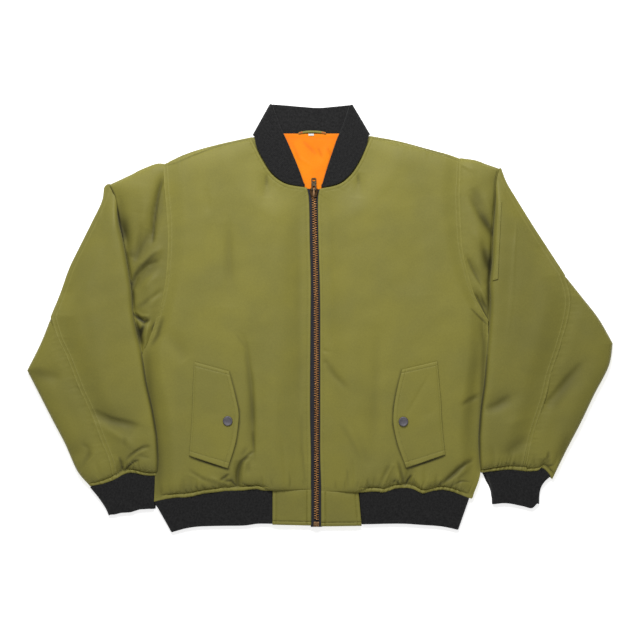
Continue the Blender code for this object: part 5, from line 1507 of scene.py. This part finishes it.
# %% Knitting a band
def knit_band(node, sections, wall, gather=0.0, draw=None):
    """A rib-knit wall through its sections, with rounded edges. draw closes it to a tube. It says
    for each section how soon below the seam it has gone over to its free edge's x (1 is straight)."""
    closed = draw is not None
    seed = seed_of(node)
    ends = [np.array([tuple(section[k]) for section in sections]) for k in (0, 1)]
    if closed:
        ends = [np.concatenate([line, line[:1]]) for line in ends]
    middle = (ends[0] + ends[1]) / 2
    reached = distances_along(middle)
    ribs = round(reached[-1] / RIB_PITCH)
    run = np.linspace(0, reached[-1], ribs * RIB_ROWS + 1)
    at = np.interp(run, reached, np.arange(len(middle)))
    seam, free = smooth_line(ends[0], at), smooth_line(ends[1], at)
    if closed:
        seam[-1], free[-1] = seam[0], free[0]
    across = free - seam
    tall = np.linalg.norm(across, axis=1)[:, None]
    steps = fill_between(tall[:, 0], BAND_STEPS, BAND_STEPS, BAND_SPACING)
    share = steps / tall
    points = seam[:, None] + across[:, None] * share[..., None]
    if closed:
        power = np.interp(at, np.arange(len(middle)), [*draw, draw[0]])[:, None]
        left = np.clip(1 - share, 0, 1)
        points[..., 0] += across[:, None, 0] * (left - left**power)
        ahead, behind = np.roll(points[:-1], -1, axis=0), np.roll(points[:-1], 1, axis=0)
        slope = np.concatenate([ahead - behind, (ahead - behind)[:1]])
    else:
        slope = np.gradient(points, axis=0)
    normal = np.cross(slope, across[:, None])
    normal /= np.linalg.norm(normal, axis=-1, keepdims=True)
    to_edge = np.minimum(steps, tall - steps)
    half = wall / 2 * np.maximum(rise(to_edge, wall * 0.6), 0.12)
    rib = RIB_HIGH * np.cos(FULL_TURN * run / (reached[-1] / ribs))[:, None] * rise(to_edge, 4)
    swell = 0.25 * uneven(run, 37, seed)[:, None] * np.sin(math.pi * np.clip(share, 0, 1))
    swell = swell + gather * uneven(run, 17, seed + 3)[:, None] * np.exp(-steps / 14)
    fade = rise(np.minimum(run, reached[-1] - run), 12)[:, None] if closed else 1.0
    swell = swell * rise(to_edge, 3) * fade
    outside = points + normal * (half + rib + swell)[..., None]
    inside = points - normal * (half + rib - swell)[..., None]
    for face in (outside, inside):
        face[..., 2] = np.maximum(face[..., 2], 0)
    lay = stacked(run[:, None], steps, 0)
    made = cloth_layer(outside, inside, {"lay": lay * MM}, closed)
    piece = put_object(node + "_knit", made, knit_cloth)
    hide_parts(node)
    print(f"{node}: {ribs} ribs, {reached[-1]:.0f} mm round, {float(tall.mean()):.0f} mm tall")


def height_on(lines):
    """A function that gives y at x on seam lines that lie end to end."""
    xs, ys = np.concatenate([along(line, np.linspace(0, 1, 101)) for line in lines]).T
    order = np.argsort(xs)
    return lambda x: float(np.interp(x, xs[order], ys[order]))


def hem_rows(side, seam, spread=0):
    """The hem band's stretch below a seam line, from the end block to the side fold. spread: how
    far beyond the span its seam goes."""
    seam_y, free = height_on([seam]), HEM_FREE[side]
    near, far = HEM_SPAN[side]
    seam_xs = np.linspace(near, far + spread, 25)
    places = smooth_line(free, np.linspace(0, len(free) - 1, 25))
    return [(x, seam_y(x) + TUCK, *place) for x, place in zip(seam_xs, places)]


# %% [markdown]
# The collar runs from the right front's end round the back of the neck to the left one, the hem
# band from block to block round the back, and each cuff is a closed tube that lies flattened.

# %% Collar, hem and cuffs
neck_middle = (-15, 270)
right_front = stretch(COLLAR_RIGHT, 11.2, 12.6, 9.6)
left_front = stretch(COLLAR_LEFT, 11.2, 12.6, 9.6)
back_knit = stretch(COLLAR_BACK, 5.0, COLLAR_WALL / 2)
collar_sections = [
    *right_front,
    *turn(right_front[-1], back_knit[0], neck_middle),
    *back_knit,
    *reversed(turn(left_front[-1], back_knit[-1], neck_middle)),
    *reversed(left_front),
]
knit_band("collar", collar_sections, COLLAR_WALL)

LOW = KNIT_WALL / 2
BACK_SPREAD = {"right": -13, "left": 0}
hem_flat, hem_under = {}, {}
for side in ("right", "left"):
    hem_flat[side] = stretch(hem_rows(side, HEM_SEAM[side]), BAND_SEAM, BAND_FREE)
    hem_under[side] = stretch(hem_rows(side, HEM_BACK, BACK_SPREAD[side]), LOW, LOW)[::-1]
hem_middle = (0, -330)
hem_sections = [
    *hem_flat["right"],
    *turn(hem_flat["right"][-1], hem_under["right"][0], hem_middle),
    *hem_under["right"],
    *hem_under["left"][::-1],
    *reversed(turn(hem_flat["left"][-1], hem_under["left"][0], hem_middle)),
    *reversed(hem_flat["left"]),
]
knit_band("hem_band", hem_sections, KNIT_WALL, gather=0.3)

CUFF_SPREAD = {"right": (10, 11), "left": (-20, -2)}
CUFF_DRAW = {"right": 1.35, "left": 3.6}
CUFF_TAB = {"right": 1.0, "left": 1.8}
for side, rows in CUFF_ROWS.items():
    above, below = height_on([ELBOW_END[side], CUFF_SEAM[side]]), height_on([CUFF_BACK[side]])
    over = [(x, above(x) + TUCK, free_x, free_y) for x, free_x, free_y in rows]
    under = [(x, below(x) - 1, free_x, free_y) for x, free_x, free_y in rows]
    seam_out, free_out = CUFF_SPREAD[side]
    under[-1] = (under[-1][0] + seam_out, under[-1][1], under[-1][2] + free_out, under[-1][3])
    upper = stretch(over, BAND_SEAM, BAND_FREE)
    lower = stretch(under, LOW, LOW)[::-1]
    middle_row = np.array(over[len(over) // 2])
    inside = (middle_row[:2] + middle_row[2:]) / 2
    ring = [
        *upper,
        *turn(upper[-1], lower[0], inside),
        *lower,
        *reversed(turn(upper[0], lower[-1], inside)),
    ]
    soon, tab = CUFF_DRAW[side], CUFF_TAB[side]
    turns = len(TURN_DEGREES)
    draw = [soon] * len(upper) + list(np.linspace(soon, tab, turns))
    draw += list(np.linspace(tab, soon, len(lower))) + [soon] * turns
    knit_band(f"cuff_{side}", ring, KNIT_WALL, gather=0.3, draw=draw)

# %% [markdown]
# ## The zip
#
# A metal zip is two woven tapes with a row of teeth clamped on each. Seen from above a closed
# chain is two rows of short bars that meet in the middle, each bar opposite a gap of the other
# row. One tooth is a bevelled block with a stepped head. It is duplicated along the zip's line
# into one mesh, 4 mm apart on each side.

# %% Tapes and teeth
ZIP_ROWS = [
    (222, -21, -11, -2), (205, -19.3, -10.2, -3.4), (178, -17.5, -9.4, -4.4), (118, -15.5, -8.1, -2),
    (62, -14.6, -7.2, -1), (10, -14.8, -6.5, -0.5), (-110, -15.4, -6, -0.5), (-232, -14.6, -6, -0.5),
    (-354, -14.2, -6.2, 1.2),
]
TAPE_THICK = 1.6
CHAIN_BASE = 9.2
TOOTH_PITCH = 4.0
TOOTH_LONG = 1.05
TOOTH_HALF = 4.65
TOOTH_HIGH = 2.2
TAPE_TUCK = 1.6
TAPE_GAP = 0.15
CHAIN_SPAN = (205.2, -343.8)
rows = smooth_line(ZIP_ROWS, np.linspace(0, len(ZIP_ROWS) - 1, 260))
for side, first, reach_left, reach_right in (
    ("right", 1, -TAPE_TUCK, -TAPE_GAP), ("left", 2, TAPE_GAP, TAPE_TUCK)
):
    left, right = rows[:, first, None] + reach_left, rows[:, first + 1, None] + reach_right
    x, y = left + (right - left) * np.linspace(0, 1, 12), rows[:, 0, None]
    rim = np.minimum(x - left, right - x)
    cord = np.exp(-(((x - (right if side == "right" else left)) / 2.2) ** 2))
    z = FRONT_BASE + TAPE_THICK * (0.72 + 0.16 * rise(rim, 0.8) + 0.12 * cord)
    made = cloth_layer(stacked(x, y, z), stacked(x, y, FRONT_BASE), {})
    tape = put_object(f"zip_tape_{side}_woven", made, zip_cloth)
    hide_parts(f"zip_tape_{side}")

tooth = bmesh.new()
bmesh.ops.create_cube(tooth, size=1)
bmesh.ops.scale(tooth, vec=(TOOTH_HALF, TOOTH_LONG, TOOTH_HIGH), verts=tooth.verts[:])
bmesh.ops.translate(tooth, vec=(-TOOTH_HALF / 2 + 0.6, 0, 1.35), verts=tooth.verts[:])
head = [f for f in tooth.faces if f.normal.x > 0.9]
bmesh.ops.inset_region(tooth, faces=head, thickness=0.35, depth=0.25)
sharp = [e for e in tooth.edges if e.calc_face_angle(0) > 0.6]
bmesh.ops.bevel(
    tooth, geom=sharp, offset=0.28, segments=2, profile=0.5, affect="EDGES", material=-1
)
tooth_mesh = bpy.data.meshes.new("tooth")
tooth.to_mesh(tooth_mesh)
tooth.free()

chain = bmesh.new()
centre_line = (rows[::-1, 0], rows[::-1, 2])
count = int((CHAIN_SPAN[0] - CHAIN_SPAN[1]) / TOOTH_PITCH)
for k in range(count):
    for facing, shift in ((1, 0), (-1, TOOTH_PITCH / 2)):
        y = CHAIN_SPAN[0] - k * TOOTH_PITCH - shift
        chain.from_mesh(tooth_mesh)
        new = chain.verts[-len(tooth_mesh.vertices) :]
        x = float(np.interp(y, *centre_line))
        bmesh.ops.scale(chain, vec=(facing, facing, 1), verts=new)
        bmesh.ops.translate(chain, vec=(x, y, CHAIN_BASE), verts=new)
teeth = put_object("zip_teeth", chain, brass)
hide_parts("zip_chain")
print("Teeth:", 2 * count, "with", len(teeth.data.polygons), "faces")

# %% [markdown]
# The slider, its pull and the box at the zip's bottom already have their true shapes in the CAD
# model, so they stay, with a bevel that catches the light and the metal's material.

# %% Slider, pull and box
for name, finish in (("zip_slider", slider_brass), ("zip_pull", pull_metal), ("zip_box", box_brass)):
    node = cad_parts[name]
    node.material_slots[0].material = finish
    rounding = node.modifiers.new("rubbed edges", "BEVEL")
    rounding.width = 0.25 * MM
    rounding.segments = 2
    rounding.limit_method = "ANGLE"
    rounding.angle_limit = math.radians(40)
    print(name, "keeps its solid, as", finish.name)

# %% [markdown]
# ## Snaps
#
# A snap's cap is a disc of pressed metal with a rolled rim and a slightly dished middle, which is
# a profile spun about its axis.

# %% Snap caps
SNAP_PROFILE = [
    (0, 1.9), (3.0, 1.95), (5.2, 2.15), (6.3, 2.45), (7.1, 2.55), (7.7, 2.3), (8.15, 1.7),
    (8.3, 1.0), (8.2, 0.4), (7.9, 0.0), (0, 0.0),
]
for side in ("right", "left"):
    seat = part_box(f"snap_cap_{side}")[0].z / MM
    cap = bmesh.new()
    points = [cap.verts.new((radius, 0, height)) for radius, height in SNAP_PROFILE]
    lines = [cap.edges.new(pair) for pair in zip(points, points[1:])]
    profile = [*points, *lines]
    bmesh.ops.spin(
        cap, geom=profile, cent=(0, 0, 0), axis=(0, 0, 1), angle=FULL_TURN, steps=48, use_merge=True
    )
    bmesh.ops.remove_doubles(cap, verts=cap.verts[:], dist=0.001)
    bmesh.ops.translate(cap, vec=(*SNAP_PLACE[side], seat), verts=cap.verts[:])
    disc = put_object(f"snap_{side}", cap, snap_metal)
    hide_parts(f"snap_cap_{side}")
    print(f"snap_{side}: {len(disc.data.polygons)} faces")

# %% [markdown]
# ## Inside the neck
#
# The back's lining shows between the collar's fronts, slack and lightly wrinkled. It is one thin
# layer without wadding, so it is laid like a panel whose height hardly changes.

# %% Lining
LINING_ROWS = [
    (-72, 314.8, 41, 314.8), (-58, 277, 32, 277), (-46, 248, 21, 248), (-34, 229, 9, 228),
    (-28, 221, 6, 219),
]
CREASES["back_lining"] = read_folds([
    ([(287, 142), (300, 158), (312, 166)], 3.5, 1, 0.4), ([(305, 141), (316, 152), (322, 160)], 3, -0.9),
    ([(330, 141), (325, 156), (322, 166)], 3.5, 1), ([(336, 140), (332, 152), (328, 170)], 3, -0.9),
    ([(294, 150), (298, 166), (303, 178)], 3, -0.8), ([(284, 137.5), (340, 137.5)], 1.6, -0.6),
])
# Painted shade along the collar's edges and in the lining's wrinkles.
SHADES["back_lining"] = read_folds([
    ([(282, 134.5), (290, 152), (297, 168), (304, 186)], 1.8, 0.6),
    ([(340, 134.5), (333, 152), (327, 169), (323, 186)], 1.8, 0.6),
    ([(303, 141), (310, 148), (316, 154)], 3, 0.3), ([(317.5, 147), (320, 152), (322, 157)], 2.6, 0.3),
    ([(327, 147), (331, 155)], 3, 0.25), ([(292, 144), (296, 152), (300, 161)], 3, 0.25),
    ([(286, 139), (290, 147)], 3, 0.25), ([(284, 138), (312, 138.4), (340, 138)], 1.4, 0.2),
])
lining = lay_panel(
    "back_lining", *halves(LINING_ROWS), 1.2, 1.2, 1.5, FRONT_BASE, [Edge(1, 0, 0.4)] * 4,
    ends=(0.8, 0.8), insets=(0, 0), spacing=1.5, reach=3, least=0.6, most=1.78,
    swell=0.2, swell_sizes=(18, 30), finish=(lining_cloth, "orange_lining"),
)

# %% [markdown]
# A loop of shell cloth is bartacked over the lining with orange thread, and a small blank tag is
# sewn in under it. Both are narrow strips, so a height for each point of a grid is enough.

# %% Loop and tag
LOOP_ENDS = (-36.5, 10)
LOOP_FOOT_Y = 314.6
LOOP_BOW = 3.2
LOOP_HALF = 1.9
LOOP_THICK = 1.3
LINING_TOP = 9.1
share = np.linspace(0, 1, 49)[:, None]
bow = np.sin(math.pi * share) ** 0.6
part = np.linspace(-1, 1, 9)[None, :]
x = LOOP_ENDS[0] + (LOOP_ENDS[1] - LOOP_ENDS[0]) * share
y = LOOP_FOOT_Y + LOOP_BOW * bow + LOOP_HALF * part
low = LINING_TOP + 0.9 * bow + 0.12 * uneven(x, 9, 4)
high = low + LOOP_THICK * (0.35 + 0.65 * rise(1 - np.abs(part), 0.5))
high -= 0.2 * np.exp(-(((np.abs(part) - 0.6) / 0.15) ** 2))
made = cloth_layer(stacked(x, y, high), stacked(x, y, low), {})
loop = put_object("hanger_loop_cloth", made, shell_cloth)
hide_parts("hanger_loop")
near_foot = [0.03 + 0.018 * k for k in range(7)]
for place in near_foot + [1 - share_along for share_along in near_foot]:
    row = round(place * (len(x) - 1))
    stitch_along(stacked(x[row], y[row], high[row] + 0.1)[1:-1], "orange")

TAG_SHIFT = 2.2
TAG_THICK = 0.45
tag_low, tag_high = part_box("neck_tag")
share = np.linspace(0, 1, 25)[:, None]
part = np.linspace(0, 1, 11)[None, :]
x = tag_low.x / MM + (tag_high.x - tag_low.x) / MM * share
y = tag_low.y / MM + TAG_SHIFT + (tag_high.y - tag_low.y) / MM * part
low = tag_low.z / MM + 0.25 * np.sin(math.pi * share) * (1 - part)
made = cloth_layer(stacked(x, y, low + TAG_THICK), stacked(x, y, low), {})
tag = put_object("neck_tag_woven", made, tag_cloth)
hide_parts("neck_tag")
print("Loop and tag:", len(loop.data.polygons), "and", len(tag.data.polygons), "faces")

# %% [markdown]
# ## The threads
#
# Every row of stitches is in place now, so each colour becomes one object.


# %% Threads
def sew(name, stitches, finish):
    """One mesh of all the stitches of a colour."""
    curve = bpy.data.curves.new(name, "CURVE")
    curve.dimensions = "3D"
    curve.bevel_depth = THREAD_HALF * MM
    curve.bevel_resolution = 1
    curve.use_fill_caps = True
    for stitch in stitches:
        line = curve.splines.new("POLY")
        line.points.add(len(stitch) - 1)
        for point, place in zip(line.points, stitch):
            point.co = (*(value * MM for value in place), 1)
    drawn = bpy.data.objects.new(name + "_curve", curve)
    scene.collection.objects.link(drawn)
    graph = bpy.context.evaluated_depsgraph_get()
    mesh = bpy.data.meshes.new_from_object(drawn.evaluated_get(graph))
    bpy.data.objects.remove(drawn, do_unlink=True)
    mesh.name = name
    mesh.materials.clear()
    add_piece(name, mesh, finish)
    print(f"{name}: {len(stitches)} stitches, {len(mesh.polygons)} faces")


sew("stitches_olive", threads["olive"], olive_thread)
sew("stitches_orange", threads["orange"], orange_thread)

# %% [markdown]
# ## Studio
#
# The floor is a plain white sheet, lit a little from below. One large lamp beyond the collar
# gives the folds their soft shade, a weaker one fills from the hem, and a white surrounding does
# the rest. Colours are shown as they are, because the photograph is a plain product shot.

# %% Floor and light
floor_maker = bmesh.new()
bmesh.ops.create_grid(floor_maker, x_segments=8, y_segments=8, size=6)
bmesh.ops.translate(floor_maker, vec=(0, 0, -0.0004), verts=floor_maker.verts[:])
floor_mesh = bpy.data.meshes.new("studio floor")
floor_maker.to_mesh(floor_mesh)
floor_maker.free()
glow = {"Emission_Color": linear("#FFFFFF"), "Emission_Strength": 0.6}
paper, paper_tree, paper_shader = new_material(
    "matt white paper on a light table", Roughness=0.95, **glow
)
paper_place = add_node(paper_tree, "TexCoord")
paper_like = {"Scale": noise_scale(300), "Detail": 2.0}
paper_grain = add_node(paper_tree, "TexNoise", {"Vector": (paper_place, "Object")}, paper_like)
whites = [(0.3, linear("#F8F8F7")), (0.7, linear("#FBFBFA"))]
paper_white = add_node(paper_tree, "ValToRGB", {"Fac": (paper_grain, "Fac")}, stops=whites)
paper_tree.links.new(paper_white.outputs["Color"], paper_shader.inputs["Base Color"])
floor_mesh.materials.append(paper)
floor = bpy.data.objects.new("studio_floor", floor_mesh)
scene.collection.objects.link(floor)
floor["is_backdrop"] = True

world = bpy.data.worlds.new("studio")
world.use_nodes = True
surround = world.node_tree.nodes["Background"]
surround.inputs["Color"].default_value = linear("#FFFFFF")
surround.inputs["Strength"].default_value = 0.22
scene.world = world
scene.view_settings.view_transform = "Standard"


def lamp(name, place, side, power):
    """A square lamp that faces the jacket."""
    data = bpy.data.lights.new(name, "AREA")
    data.shape = "SQUARE"
    data.size = side
    data.energy = power
    made = bpy.data.objects.new(name, data)
    made.location = place
    made.rotation_mode = "QUATERNION"
    made.rotation_quaternion = Vector(place).to_track_quat("Z", "Y")
    scene.collection.objects.link(made)


lamp("key lamp", (-0.15, 1.3, 1.4), 0.8, 30)
lamp("fill lamp", (-0.1, -1.7, 1.9), 1.0, 8)
print("Lamps:", len(bpy.data.lights))

# %% Size and finish
total = sum(
    sum(len(face.vertices) - 2 for face in piece.data.polygons)
    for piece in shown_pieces()
    if piece.type == "MESH"
)
print("Triangles shown:", total)
